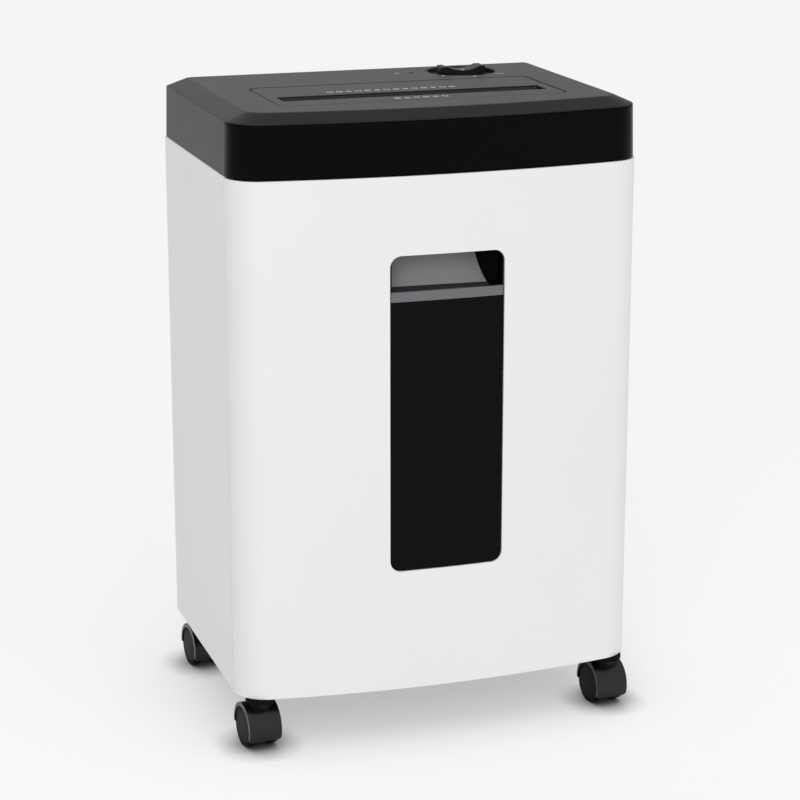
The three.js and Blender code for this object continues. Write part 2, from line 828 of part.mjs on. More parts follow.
function feedGuide(side) {
  const inner = slot.y + side * slot.throat / 2;
  const outer = inner + side * slot.guideThickness;
  const top = headTop - slot.funnelDepth - GAP;
  const length = frame.inner - GAP;
  const sheet = box(-length, length, Math.min(inner, outer), Math.max(inner, outer),
    guideBottom, top);
  if (side < 0) {
    return sheet;
  }
  const notchHalf = lever.thickness / 2 + 1;
  const notch = box(-notchHalf, notchHalf, inner - 1, outer + 1, guideBottom + 2.5, top + 1);
  const ears = [-1, 1].map((ear) => {
    const edges = [ear * notchHalf, ear * (notchHalf + lever.ear)];
    return box(Math.min(...edges), Math.max(...edges), outer - 0.2, leverY + lever.hub,
      leverZ - lever.hub - 1, leverZ + lever.hub);
  });
  const hole = rodX(leverY, leverZ, lever.pin + RUN, -8, 8, 12);
  return cut(join(cut(sheet, notch), ...ears), hole);
}

function paperLever() {
  const half = lever.thickness / 2;
  const hub = rodX(leverY, leverZ, lever.hub, -half, half, 12);
  const arm = extrudeX(polygon([
    [leverY - lever.reach, leverZ - 0.6],
    [leverY, leverZ - 1.8],
    [leverY, leverZ + 1.8],
    [leverY - lever.reach, leverZ + 0.8],
  ]), -half, half);
  const pin = rodX(leverY, leverZ, lever.pin, -lever.pinLength / 2, lever.pinLength / 2, 10);
  return join(hub, arm, pin);
}

function cutterShaft(y, discs) {
  const end = frameOuter + 3;
  const coreEnd = frame.inner - 1;
  const profile = [[0, -end], [cutter.journalRadius, -end], [cutter.journalRadius, -coreEnd],
    [cutter.coreRadius, -coreEnd]];
  for (let i = 0; i < discs; i++) {
    const middle = (i - (discs - 1) / 2) * cutter.pitch;
    profile.push([cutter.coreRadius, middle - cutter.discWidth / 2]);
    profile.push([cutter.discRadius, middle - cutter.discWidth / 2]);
    profile.push([cutter.discRadius, middle + cutter.discWidth / 2]);
    profile.push([cutter.coreRadius, middle + cutter.discWidth / 2]);
  }
  const right = gears.start + gears.width + 1;
  profile.push([cutter.coreRadius, coreEnd], [cutter.journalRadius, coreEnd],
    [cutter.journalRadius, right], [0, right]);
  return latheX(profile, cutter.steps).translate(0, y, shaftZ);
}

function cutterGear(y, phase) {
  const { start, width, cutterTeeth } = gears;
  const toothed = gear(y, cutterTeeth, cutterModule, phase, 2, start, start + width);
  return cut(toothed, rodX(y, shaftZ, cutter.journalRadius + RUN, start - 1, start + width + 1));
}

function intermediateGear() {
  const { start, width, driveStart, driveWidth, shaftRadius } = gears;
  const small = gear(middleGearY, gears.pinionTeeth, cutterModule, 0, 2, start, driveStart + 1);
  const large = gear(middleGearY, gears.driveTeeth, gears.driveModule, 0, 1,
    driveStart, driveStart + driveWidth);
  const shaft = rodX(middleGearY, shaftZ, shaftRadius, frame.inner - GAP,
    driveStart + driveWidth + 5.5);
  return join(small, large, shaft);
}

function motorHousing() {
  const right = frame.inner - GAP;
  const left = right - motor.length;
  const r = motor.radius;
  return latheX([
    [0, left], [r * 0.45, left], [r * 0.45, left + 5], [r - 2, left + 5], [r, left + 7],
    [r, right], [motor.shaftRadius + 0.6, right], [motor.shaftRadius + 0.6, right - motor.bore],
    [0, right - motor.bore],
  ], motor.steps).translate(0, motorY, shaftZ);
}

function motorRotor() {
  const { driveStart, driveWidth, motorTeeth, driveModule } = gears;
  const shaft = rodX(motorY, shaftZ, motor.shaftRadius, frame.inner - GAP - motor.bore + 1,
    driveStart + driveWidth + 1);
  const pinion = gear(motorY, motorTeeth, driveModule, Math.PI / motorTeeth, 2,
    driveStart - 0.5, driveStart + driveWidth + 0.5);
  return join(shaft, pinion);
}

function sideFrame(side) {
  const earBottom = headBase + 0.5 + head.chassisThickness + GAP;
  const bottom = cabinet.top - frame.drop;
  const earTop = cabinet.top + frame.earRise;
  const outline = polygon([
    [frame.front, bottom], [frame.rear, bottom], [frame.rear, earBottom],
    [frame.earRear, earBottom], [frame.earRear, earTop], [frame.earFront, earTop],
    [frame.earFront, earBottom], [frame.front, earBottom],
  ]);
  const x0 = side > 0 ? frame.inner : -frameOuter;
  const x1 = x0 + frame.thickness;
  const drill = (y, r) => rodX(y, shaftZ, r + RUN, x0 - 1, x1 + 1);
  const holes = [drill(frontShaftY, cutter.journalRadius), drill(rearShaftY, cutter.journalRadius)];
  if (side > 0) {
    holes.push(drill(middleGearY, gears.shaftRadius), drill(motorY, motor.shaftRadius + 0.3));
  }
  return cut(extrudeX(outline, x0, x1), ...holes);
}

function tieRod(y, z) {
  return rodX(y, z, rod.radius, -frame.inner + GAP, frame.inner - GAP, 10);
}

// Fingers between the discs that strip the paper off the core.
function stripperComb(side, shaftY, discs) {
  const tip = shaftY + side * (cutter.coreRadius + comb.side);
  const root = shaftY + side * (cutter.coreRadius + comb.barGap);
  const back = root + side * comb.bar;
  const length = frame.inner - GAP;
  const half = (cutter.pitch - cutter.discWidth) / 2 - comb.side;
  const edge = [];
  for (let i = 0; i + 1 < discs; i++) {
    const middle = (i + 1 - discs / 2) * cutter.pitch;
    edge.push([middle - half, root], [middle - half, tip], [middle + half, tip], [middle + half, root]);
  }
  const points = polygon([[-length, back], [-length, root], ...edge, [length, root], [length, back]]);
  return extrudeZ(points, shaftZ - comb.thickness / 2, shaftZ + comb.thickness / 2);
}

function gearCover() {
  const outside = (teeth, module) => (teeth / 2 + gears.addendum) * module + gears.coverRoom;
  const reach = outside(gears.driveTeeth, gears.driveModule);
  const y0 = frontShaftY - outside(gears.cutterTeeth, cutterModule);
  const y1 = motorY + outside(gears.motorTeeth, gears.driveModule);
  const x0 = frameOuter + GAP;
  const x1 = gears.driveStart + gears.driveWidth + 4;
  const w = gears.coverWall;
  const outer = box(x0, x1 + w, y0 - w, y1 + w, shaftZ - reach - w, shaftZ + reach + w);
  const inner = box(x0 - 1, x1, y0, y1, shaftZ - reach, shaftZ + reach);
  return cut(outer, inner, rodX(middleGearY, shaftZ, gears.shaftRadius + RUN, x1 - 1, x1 + w + 1));
}

// ---------------------------------------------------------------- casters

function casterHood() {
  const from = THREE.MathUtils.degToRad(caster.hoodRearEdge);
  const to = THREE.MathUtils.degToRad(caster.hoodFrontEdge);
  const outer = arc(0, 0, caster.hoodRadius, from, to, 10);
  const inner = arc(0, 0, caster.hoodRadius - caster.hoodThickness, to, from, 10);
  const barrel = extrudeX([...outer, ...inner], -caster.hoodHalfWidth, caster.hoodHalfWidth);
  const web = extrudeX(outer, -caster.webHalf, caster.webHalf);
  const hood = join(barrel, web).translate(0, caster.trail, caster.wheelRadius);
  const bossBottom = 2 * caster.wheelRadius + 0.6;
  const boss = rodZ(0, 0, caster.bossRadius, bossBottom, caster.bossTop, 14);
  const bore = rodZ(0, 0, caster.stemRadius + RUN, caster.stemBottom - 1, caster.bossTop + 1, 12);
  const axleHole = rodX(caster.trail, caster.wheelRadius, caster.axleRadius + RUN, -20, 20);
  return cut(join(hood, boss), bore, axleHole);
}

function casterStem() {
  return latheZ([
    [0, caster.stemBottom], [caster.stemRadius, caster.stemBottom],
    [caster.stemRadius, caster.bossTop + GAP], [caster.collarRadius, caster.bossTop + GAP],
    [caster.collarRadius, cabinet.bottom - GAP], [caster.socketPin, cabinet.bottom - GAP],
    [caster.socketPin, caster.stemTop], [0, caster.stemTop],
  ], 12);
}

function casterWheel(side) {
  const inner = caster.wheelInner;
  const outer = inner + caster.wheelWidth;
  const bore = caster.axleRadius + RUN;
  const depth = caster.axleHalf + 0.4;
  const r = caster.wheelRadius;
  const c = caster.tyreChamfer;
  const wheel = latheX([
    [0, depth], [bore, depth], [bore, inner], [r - c, inner], [r, inner + c],
    [r, outer - c], [r - c, outer], [0, outer],
  ], 16);
  return side > 0 ? wheel : wheel.rotateZ(Math.PI);
}

function addCaster(name, x, y) {
  const group = new THREE.Group();
  group.position.set(x, y, 0);
  group.rotation.z = caster.turn;
  const wheels = new THREE.Group();
  wheels.position.set(0, caster.trail, caster.wheelRadius);
  group.add(wheels);
  add(`caster_${name}_hood`, casterHood(), finishes.black, group);
  add(`caster_${name}_stem`, casterStem(), finishes.zinc, group);
  add(`caster_${name}_axle`, rodX(0, 0, caster.axleRadius, -caster.axleHalf, caster.axleHalf, 10),
    finishes.zinc, wheels);
  add(`caster_${name}_wheel_left`, casterWheel(-1), finishes.wheel, wheels);
  add(`caster_${name}_wheel_right`, casterWheel(1), finishes.wheel, wheels);
  shredder.add(group);
}

// ---------------------------------------------------------------- assembly

add('left_side_panel', sidePanel(-1), finishes.white);
add('right_side_panel', sidePanel(1), finishes.white);
add('rear_panel', rearPanel(), finishes.white);
add('base_tray', baseTray(), finishes.black);
add('top_frame', topFrame(), finishes.black);
add('drawer_rail_left', drawerRail(-1), finishes.zinc);
add('drawer_rail_right', drawerRail(1), finishes.zinc);
add('interlock_switch', interlockSwitch(), finishes.black);
add('interlock_plunger', interlockPlunger(), finishes.nylon);

add('front_panel', frontPanel(), finishes.white);
add('window_panel', windowPanel(), finishes.window);
add('grip_scoop', gripScoop(), finishes.grip);
add('waste_bin', wasteBin(), finishes.bin);

add('head_top_cover', headTopCover(), finishes.grey);
add('head_front_fascia', headFrontFascia(), finishes.gloss);
add('head_chassis', headChassis(), finishes.black);
add('feed_plate', feedPlate(), finishes.grey);
add('knob_dish', knobDish(), finishes.black);
add('mode_knob', modeKnob(), finishes.grey);
add('rotary_switch', rotarySwitch(), finishes.black);
add('lamp_lens', lampLens(), finishes.lens);
add('power_inlet', powerInlet(), finishes.black);
add('control_board', controlBoard(), finishes.board);

add('feed_guide_front', feedGuide(-1), finishes.zinc);
add('feed_guide_rear', feedGuide(1), finishes.zinc);
add('paper_lever', paperLever(), finishes.nylon);
add('cutter_front', cutterShaft(frontShaftY, cutter.discs), finishes.steel);
add('cutter_rear', cutterShaft(rearShaftY, cutter.discs - 1), finishes.steel);
add('cutter_gear_front', cutterGear(frontShaftY, 0), finishes.steel);
add('cutter_gear_rear', cutterGear(rearShaftY, Math.PI / gears.cutterTeeth), finishes.steel);
add('intermediate_gear', intermediateGear(), finishes.nylon);
add('motor_housing', motorHousing(), finishes.steel);
add('motor_rotor', motorRotor(), finishes.steel);
add('side_frame_left', sideFrame(-1), finishes.zinc);
add('side_frame_right', sideFrame(1), finishes.zinc);
add('tie_rod_front', tieRod(rod.frontY, cabinet.top + rod.frontRise), finishes.zinc);
add('tie_rod_rear', tieRod(rod.rearY, cabinet.top + rod.rearRise), finishes.zinc);
add('stripper_comb_front', stripperComb(-1, frontShaftY, cutter.discs), finishes.black);
add('stripper_comb_rear', stripperComb(1, rearShaftY, cutter.discs - 1), finishes.black);
add('gear_cover', gearCover(), finishes.black);

for (const { name, x, y } of casterPlaces()) {
  addCaster(name, x, y);
}

export default shredder;
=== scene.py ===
"""Paper shredder with a pull-out bin: its looks, built round the fixed CAD frame."""

import logging
import math
from dataclasses import dataclass, field
from enum import Enum
from typing import Any, Iterable, Optional, Sequence

import bmesh
import bpy
from mathutils import Matrix, Vector


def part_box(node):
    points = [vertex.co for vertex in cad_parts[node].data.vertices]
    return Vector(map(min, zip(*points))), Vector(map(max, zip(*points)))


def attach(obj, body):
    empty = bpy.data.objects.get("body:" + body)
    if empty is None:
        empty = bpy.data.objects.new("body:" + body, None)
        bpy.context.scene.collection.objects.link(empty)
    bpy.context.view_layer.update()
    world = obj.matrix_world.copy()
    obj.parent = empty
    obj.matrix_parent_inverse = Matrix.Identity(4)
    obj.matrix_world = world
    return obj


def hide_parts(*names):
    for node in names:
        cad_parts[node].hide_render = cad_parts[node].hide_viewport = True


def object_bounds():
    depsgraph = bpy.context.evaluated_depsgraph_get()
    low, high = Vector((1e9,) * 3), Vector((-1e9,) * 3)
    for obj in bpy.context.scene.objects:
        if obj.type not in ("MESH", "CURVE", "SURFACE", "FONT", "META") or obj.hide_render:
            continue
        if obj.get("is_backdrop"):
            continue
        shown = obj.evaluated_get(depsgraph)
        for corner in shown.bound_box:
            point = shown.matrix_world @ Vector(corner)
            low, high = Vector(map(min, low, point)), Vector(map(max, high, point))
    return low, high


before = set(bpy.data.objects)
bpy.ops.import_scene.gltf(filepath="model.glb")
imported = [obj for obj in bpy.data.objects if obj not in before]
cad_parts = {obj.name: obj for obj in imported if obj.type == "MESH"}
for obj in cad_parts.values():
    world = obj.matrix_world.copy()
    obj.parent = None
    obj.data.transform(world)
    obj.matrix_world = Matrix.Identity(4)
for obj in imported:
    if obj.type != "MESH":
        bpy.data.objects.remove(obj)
log = logging.getLogger("shredder")

MM = 0.001
SEAM = 0.6                  # joint between two moulded covers
NOISE_LOW = 0.3             # most values of a noise texture lie between these two
NOISE_HIGH = 0.7
MERGE = 1e-3                # points of an outline that are closer than this become one, in mm
CUT_MERGE = 2e-3            # the same after a cut between two solids
PLANE_MERGE = 1e-4          # how close to a cutting plane a point counts as on it
FLAT_DEGREES = 0.05         # faces that bend less than this become one
SMALL = 0.1                 # slack of tests that pick edges by their place, in mm


class Side(Enum):
    """Left and right as seen from the front, with the sign of X."""

    LEFT = -1
    RIGHT = 1


class Axis(Enum):
    """Turn that stands a shape drawn along Z on another axis."""

    X = Matrix(((0, 0, 1, 0), (1, 0, 0, 0), (0, 1, 0, 0), (0, 0, 0, 1)))
    Y = Matrix(((1, 0, 0, 0), (0, 0, -1, 0), (0, 1, 0, 0), (0, 0, 0, 1)))


class Corner(Enum):
    """The four casters by the corner that they stand under."""

    FRONT_LEFT = "front_left"
    FRONT_RIGHT = "front_right"
    REAR_LEFT = "rear_left"
    REAR_RIGHT = "rear_right"


# ------------------------------------------------------------------ finishes


def linear(code: str) -> tuple[float, float, float, float]:
    """Turns a hex sRGB colour into linear light.

    Args:
        code: six hex digits.

    Returns:
        Red, green, blue and an alpha of 1.
    """
    values = []
    for start in (0, 2, 4):
        share = int(code[start:start + 2], 16) / 255
        values.append(share / 12.92 if share <= 0.04045 else ((share + 0.055) / 1.055) ** 2.4)
    return (values[0], values[1], values[2], 1.0)


def add_node(tree: bpy.types.NodeTree, kind: str, inputs: Optional[dict[Any, Any]] = None,
             **settings: Any) -> bpy.types.Node:
    """Adds one shader node with its settings and links.

    Args:
        tree: node tree that gets the node.
        kind: type of the node.
        inputs: value, or socket that feeds it, for each input by name or number.
        settings: properties of the node itself.

    Returns:
        The new node.
    """
    node = tree.nodes.new(kind)
    for name, value in settings.items():
        setattr(node, name, value)
    for key, value in (inputs or {}).items():
        if isinstance(value, bpy.types.NodeSocket):
            tree.links.new(value, node.inputs[key])
        else:
            node.inputs[key].default_value = value
    return node


def per_metre(size_mm: float) -> float:
    """Noise scale at which one feature is that many millimetres across."""
    return 1 / (size_mm * MM)


@dataclass(frozen=True)
class Finish:
    """A real material and how its surface was made."""

    name: str
    colour: str
    roughness: float
    slot: str = ""

    def material(self) -> bpy.types.Material:
        """Builds the material once and returns it."""
        found = bpy.data.materials.get(self.name)
        if found:
            return found
        made = bpy.data.materials.new(self.name)
        made.use_nodes = True
        tree = made.node_tree
        tree.nodes.clear()
        shader = add_node(tree, "ShaderNodeBsdfPrincipled", {"Roughness": self.roughness})
        place = add_node(tree, "ShaderNodeTexCoord").outputs["Object"]
        self.dress(tree, shader, place)
        add_node(tree, "ShaderNodeOutputMaterial", {"Surface": shader.outputs[0]})
        made.diffuse_color = linear(self.colour)
        return made

    def dress(self, tree: bpy.types.NodeTree, shader: bpy.types.Node,
              place: bpy.types.NodeSocket) -> None:
        """Gives the shader its pattern.

        Args:
            tree: the material's nodes.
            shader: its principled shader.
            place: object coordinates in metres.
        """
        raise NotImplementedError


def vary(tree: bpy.types.NodeTree, place: bpy.types.NodeSocket, size_mm: float, low: float,
         high: float, detail: float = 2.0) -> bpy.types.NodeSocket:
    """Makes a soft cloudy value.

    Args:
        tree: the material's nodes.
        place: coordinates in metres.
        size_mm: size of one cloud.
        low: lowest value.
        high: highest value.
        detail: octaves of finer noise.

    Returns:
        The value's socket.
    """
    noise = add_node(tree, "ShaderNodeTexNoise",
                     {"Vector": place, "Scale": per_metre(size_mm), "Detail": detail})
    ranged = add_node(tree, "ShaderNodeMapRange",
                      {"Value": noise.outputs["Fac"], "From Min": NOISE_LOW, "From Max": NOISE_HIGH,
                       "To Min": low, "To Max": high})
    return ranged.outputs["Result"]


def tint(tree: bpy.types.NodeTree, code: str, amount: bpy.types.NodeSocket) -> bpy.types.NodeSocket:
    """Multiplies a colour by a value near one.

    Args:
        tree: the material's nodes.
        code: hex colour.
        amount: socket of the factor.

    Returns:
        The colour's socket.
    """
    scaled = add_node(tree, "ShaderNodeVectorMath", {0: linear(code)[:3], "Scale": amount},
                      operation="SCALE")
    return scaled.outputs["Vector"]


@dataclass(frozen=True)
class Moulded(Finish):
    """Injection-moulded plastic: spark-eroded grain, faint flow clouds, handled gloss."""

    grain_mm: float = 1.1
    grain_depth_mm: float = 0.012
    cloud_mm: float = 70.0
    cloud: float = 0.02
    wear: float = 0.05
    ior: float = 1.5
    specular: float = 0.5
    gloss_share: float = 0.4        # size of the gloss clouds as a share of the colour clouds

    def dress(self, tree: bpy.types.NodeTree, shader: bpy.types.Node,
              place: bpy.types.NodeSocket) -> None:
        """Adds the grain, the clouds and the uneven gloss."""
        clouds = vary(tree, place, self.cloud_mm, 1 - self.cloud, 1 + self.cloud)
        tree.links.new(tint(tree, self.colour, clouds), shader.inputs["Base Color"])
        gloss = vary(tree, place, self.cloud_mm * self.gloss_share, max(0.02, self.roughness - self.wear),
                     min(1.0, self.roughness + self.wear), 4.0)
        tree.links.new(gloss, shader.inputs["Roughness"])
        grain = add_node(tree, "ShaderNodeTexNoise",
                         {"Vector": place, "Scale": per_metre(self.grain_mm), "Detail": 3.0,
                          "Roughness": 0.6})
        bump = add_node(tree, "ShaderNodeBump",
                        {"Strength": 1.0, "Distance": self.grain_depth_mm * MM,
                         "Height": grain.outputs["Fac"]})
        tree.links.new(bump.outputs["Normal"], shader.inputs["Normal"])
        shader.inputs["IOR"].default_value = self.ior
        shader.inputs["Specular IOR Level"].default_value = self.specular


@dataclass(frozen=True)
class Metal(Finish):
    """Sheet or turned metal whose fine scratches run along one axis."""

    scratch_mm: float = 0.5
    stretch: tuple[float, float, float] = (0.04, 1.0, 1.0)
    spangle_mm: float = 8.0
    wear: float = 0.12

    def dress(self, tree: bpy.types.NodeTree, shader: bpy.types.Node,
              place: bpy.types.NodeSocket) -> None:
        """Adds the scratches and the crystal or oil clouds."""
        shader.inputs["Metallic"].default_value = 1.0
        along = add_node(tree, "ShaderNodeMapping", {"Vector": place, "Scale": self.stretch})
        scratch = add_node(tree, "ShaderNodeTexNoise",
                           {"Vector": along.outputs["Vector"], "Scale": per_metre(self.scratch_mm),
                            "Detail": 4.0})
        spangle = add_node(tree, "ShaderNodeTexVoronoi",
                           {"Vector": place, "Scale": per_metre(self.spangle_mm)})
        tone = add_node(tree, "ShaderNodeMapRange",
                        {"Value": spangle.outputs["Distance"], "To Min": 1.05, "To Max": 0.86})
        tree.links.new(tint(tree, self.colour, tone.outputs["Result"]), shader.inputs["Base Color"])
        gloss = add_node(tree, "ShaderNodeMapRange",
                         {"Value": scratch.outputs["Fac"], "To Min": self.roughness - self.wear,
                          "To Max": self.roughness + self.wear})
        tree.links.new(gloss.outputs["Result"], shader.inputs["Roughness"])
        bump = add_node(tree, "ShaderNodeBump",
                        {"Strength": 0.4, "Distance": 0.01 * MM, "Height": scratch.outputs["Fac"]})
        tree.links.new(bump.outputs["Normal"], shader.inputs["Normal"])


@dataclass(frozen=True)
class SolderMask(Finish):
    """Lacquered glass-fibre circuit board with copper tracks under the lacquer."""

    track_mm: float = 5.0
    track_colour: str = "2E7D4A"

    def dress(self, tree: bpy.types.NodeTree, shader: bpy.types.Node,
              place: bpy.types.NodeSocket) -> None:
        """Adds the tracks as a lighter, slightly raised pattern."""
        tracks = add_node(tree, "ShaderNodeTexBrick",
                          {"Vector": place, "Scale": per_metre(self.track_mm) / 2,
                           "Color1": linear(self.colour), "Color2": linear(self.colour),
                           "Mortar": linear(self.track_colour), "Mortar Size": 0.05})
        tree.links.new(tracks.outputs["Color"], shader.inputs["Base Color"])
        bump = add_node(tree, "ShaderNodeBump",
                        {"Distance": 0.03 * MM, "Height": tracks.outputs["Fac"]})
        tree.links.new(bump.outputs["Normal"], shader.inputs["Normal"])
        shader.inputs["Coat Weight"].default_value = 0.4


@dataclass(frozen=True)
class PaintedShadowFloor(Finish):
    """Pale studio sheet that glows a little of itself, with a painted contact shadow that darkens it only
    close to what touches it.
    """

    glow: float = 0.44
    painted_shadow_mm: float = 26.0
    painted_shadow_power: float = 1.6      # how steeply the painted contact shadow falls off

    def dress(self, tree: bpy.types.NodeTree, shader: bpy.types.Node,
              place: bpy.types.NodeSocket) -> None:
        """Adds the glow, and paints shadow close to what stands on the sheet: an occlusion mask darkens
        its colour and its glow.
        """
        # painted contact shadow: the occlusion near the sheet darkens its colour and dims its glow
        near = add_node(tree, "ShaderNodeAmbientOcclusion", {"Distance": self.painted_shadow_mm * MM})
        deep = add_node(tree, "ShaderNodeMath", {0: near.outputs["AO"], 1: self.painted_shadow_power},
                        operation="POWER")
        tree.links.new(tint(tree, self.colour, deep.outputs[0]), shader.inputs["Base Color"])
        glow = add_node(tree, "ShaderNodeMath", {0: deep.outputs[0], 1: self.glow},
                        operation="MULTIPLY")
        shader.inputs["Emission Color"].default_value = linear("FFFFFF")
        tree.links.new(glow.outputs[0], shader.inputs["Emission Strength"])
        shader.inputs["Specular IOR Level"].default_value = 0.0


# White ABS with a fine spark grain: a quiet satin that spreads the light evenly.
WHITE_ABS = Moulded("white_abs_spark_grain", "E5E5E5", 0.5, "white_shell", grain_depth_mm=0.008,
                    cloud=0.008, cloud_mm=160)
# Grey ABS with a coarser grain: dark by itself, and veiled with light at low angles.
GREY_ABS = Moulded("grey_abs_spark_grain", "0D0E0F", 0.42, "head_grey", grain_depth_mm=0.02,
                   cloud=0.012, wear=0.012, specular=0.26)
# Polished black ABS of the fascia and the grip's housing: deep black, clean weak reflection.
GLOSS_ABS = Moulded("black_abs_polished", "050506", 0.09, "gloss_fascia", grain_mm=14,
                    grain_depth_mm=0.002, wear=0.03, specular=0.05)
# Smoked acrylic pane: nearly black through its own depth, sharper gloss than the covers.
SMOKED_ACRYLIC = Moulded("smoked_acrylic_cast", "08090A", 0.06, "smoked_window", grain_mm=22,
                         grain_depth_mm=0.002, wear=0.02, specular=0.06)
# Satin grey ABS of the finger grip's lip, one plastic with the grip's back: a darker copy of that grey as
# painted shade, with a soft shine along the rounding.
GRIP_LIP_PAINTED_SHADE = Moulded("grip_abs_satin", "626366", 0.33, "grip_grey", grain_mm=2.0,
                   grain_depth_mm=0.004, cloud=0.01, wear=0.02)
# Satin grey ABS of the finger grip's back, one plastic with the lip: a paler copy of that grey as
# painted light in the shaded hollow, a little shinier than the cabinet.
GRIP_BACK_PAINTED_LIGHT = Moulded("grip_paint_silver_grey", "ABACAE", 0.3, "grip_grey", grain_mm=2.0,
                     grain_depth_mm=0.002, cloud=0.005, wear=0.005)
# Dark grey strip at the bottom of the groove behind the lip: painted shade, a darker copy of the grip's
# grey where the lip shades the groove.
GROOVE_PAINTED_SHADE = Moulded("groove_painted_shade_grey", "3A3B3C", 0.4, "black_plastic")
# Satin black ABS of the hidden borders, the dial's dish, the feed funnel and the trays: black
# with a soft highlight along its edges.
BLACK_ABS = Moulded("black_abs_satin", "101112", 0.35, "black_plastic", specular=0.3)
# Black polypropylene bin: waxy and dull with a visible texture.
BIN_PP = Moulded("black_polypropylene_texture", "1C1D1F", 0.55, "bin_plastic", grain_mm=1.6,
                 grain_depth_mm=0.04)
# Glass-filled nylon of the caster hoods: satin black, with a broad highlight.
CASTER_NYLON = Moulded("caster_nylon_satin", "0A0A0A", 0.28, "caster_black", grain_mm=1.3,
                       grain_depth_mm=0.01, wear=0.03, specular=0.4)
# Rubbed nylon of the swivel collars: dead matt, so it sinks into the shade over the wheels.
COLLAR_NYLON = Moulded("collar_nylon_matt", "060606", 0.7, "caster_black", specular=0.08)
# Nylon of the wheels: black, duller than the hoods, with a worn and uneven gloss.
WHEEL_NYLON = Moulded("wheel_nylon_worn", "080809", 0.5, "wheel_plastic", grain_mm=1.3,
                      wear=0.06, specular=0.08)
# Natural nylon of the gear, the lever and the plunger: milky and waxy.
NATURAL_NYLON = Moulded("natural_nylon_moulded", "D6D2C4", 0.45, "nylon")
# Clear tinted lens of the lamp, unlit.
LENS = Moulded("lamp_lens_tinted", "040505", 0.3, "lamp_lens", grain_depth_mm=0.0,
               specular=0.02)
# Pale ink of the pad-printed marks, thin enough to show the grain of the cover.
PRINT_INK = Moulded("pad_print_ink_pale", "D2D3D4", 0.6, "head_grey", specular=0.2)
# Zinc-plated sheet steel: cool grey with faint crystal spangle.
ZINC_STEEL = Metal("zinc_plated_sheet", "B9BCBF", 0.36, "zinc_plate")
# Turned and hardened cutter steel: darker, with fine turning lines and an oil film.
CUTTER_STEEL = Metal("hardened_cutter_steel", "8B8E92", 0.3, "machined_steel",
                     stretch=(1.0, 0.05, 0.05), spangle_mm=14)
# Green solder mask over copper tracks.
BOARD_MASK = SolderMask("circuit_board_mask", "174A2C", 0.3, "circuit_board")


# ------------------------------------------------------------------ drawing tools


class Pen:
    """Draws a flat outline in millimetres by moving one vertex."""

    def __init__(self, x: float, y: float, height: float = 0.0) -> None:
        """Sets the pen down.

        Args:
            x: start along X.
            y: start along Y.
            height: level of the outline along Z.
        """
        self.mesh = bmesh.new()
        self.height = height
        self.tip = self.mesh.verts.new((x, y, height))

    def line(self, x: float, y: float) -> "Pen":
        """Draws straight to a point and returns the pen."""
        made = bmesh.ops.extrude_vert_indiv(self.mesh, verts=[self.tip])
        self.tip = made["verts"][0]
        self.tip.co = (x, y, self.height)
        return self

    def arc(self, x: float, y: float, degrees: float, steps: int) -> "Pen":
        """Swings the pen round a centre.

        Args:
            x: centre along X.
            y: centre along Y.
            degrees: angle, anticlockwise where positive.
            steps: straight parts of the arc.

        Returns:
            The pen.
        """
        made = bmesh.ops.spin(self.mesh, geom=[self.tip], cent=(x, y, self.height),
                              axis=(0, 0, 1), dvec=(0, 0, 0), angle=math.radians(degrees),
                              steps=steps, use_merge=False, use_duplicate=False)
        self.tip = next(g for g in made["geom_last"] if isinstance(g, bmesh.types.BMVert))
        return self

    def ring(self) -> bmesh.types.BMesh:
        """Joins the end to the start and returns the closed chain of edges."""
        bmesh.ops.remove_doubles(self.mesh, verts=self.mesh.verts[:], dist=MERGE)
        loose = [v for v in self.mesh.verts if len(v.link_edges) == 1]
        if loose:
            bmesh.ops.contextual_create(self.mesh, geom=loose)
        return self.mesh


def polyline(points: Sequence[tuple[float, float]], height: float = 0.0) -> Pen:
    """Draws straight lines through points and returns the pen."""
    pen = Pen(*points[0], height)
    for x, y in points[1:]:
        pen.line(x, y)
    return pen


def rounded_box(x0: float, x1: float, y0: float, y1: float, radius: float, steps: int = 8,
                height: float = 0.0) -> Pen:
    """Draws a rectangle with round corners.

    Args:
        x0: left side.
        x1: right side.
        y0: lower side.
        y1: upper side.
        radius: of each corner.
        steps: straight parts of each corner.
        height: level of the outline.

    Returns:
        The pen, ready to close.
    """
    pen = Pen(x0, y1 - radius, height).line(x0, y0 + radius)
    pen.arc(x0 + radius, y0 + radius, 90, steps).line(x1 - radius, y0)
    pen.arc(x1 - radius, y0 + radius, 90, steps).line(x1, y1 - radius)
    pen.arc(x1 - radius, y1 - radius, 90, steps).line(x0 + radius, y1)
    return pen.arc(x0 + radius, y1 - radius, 90, steps)


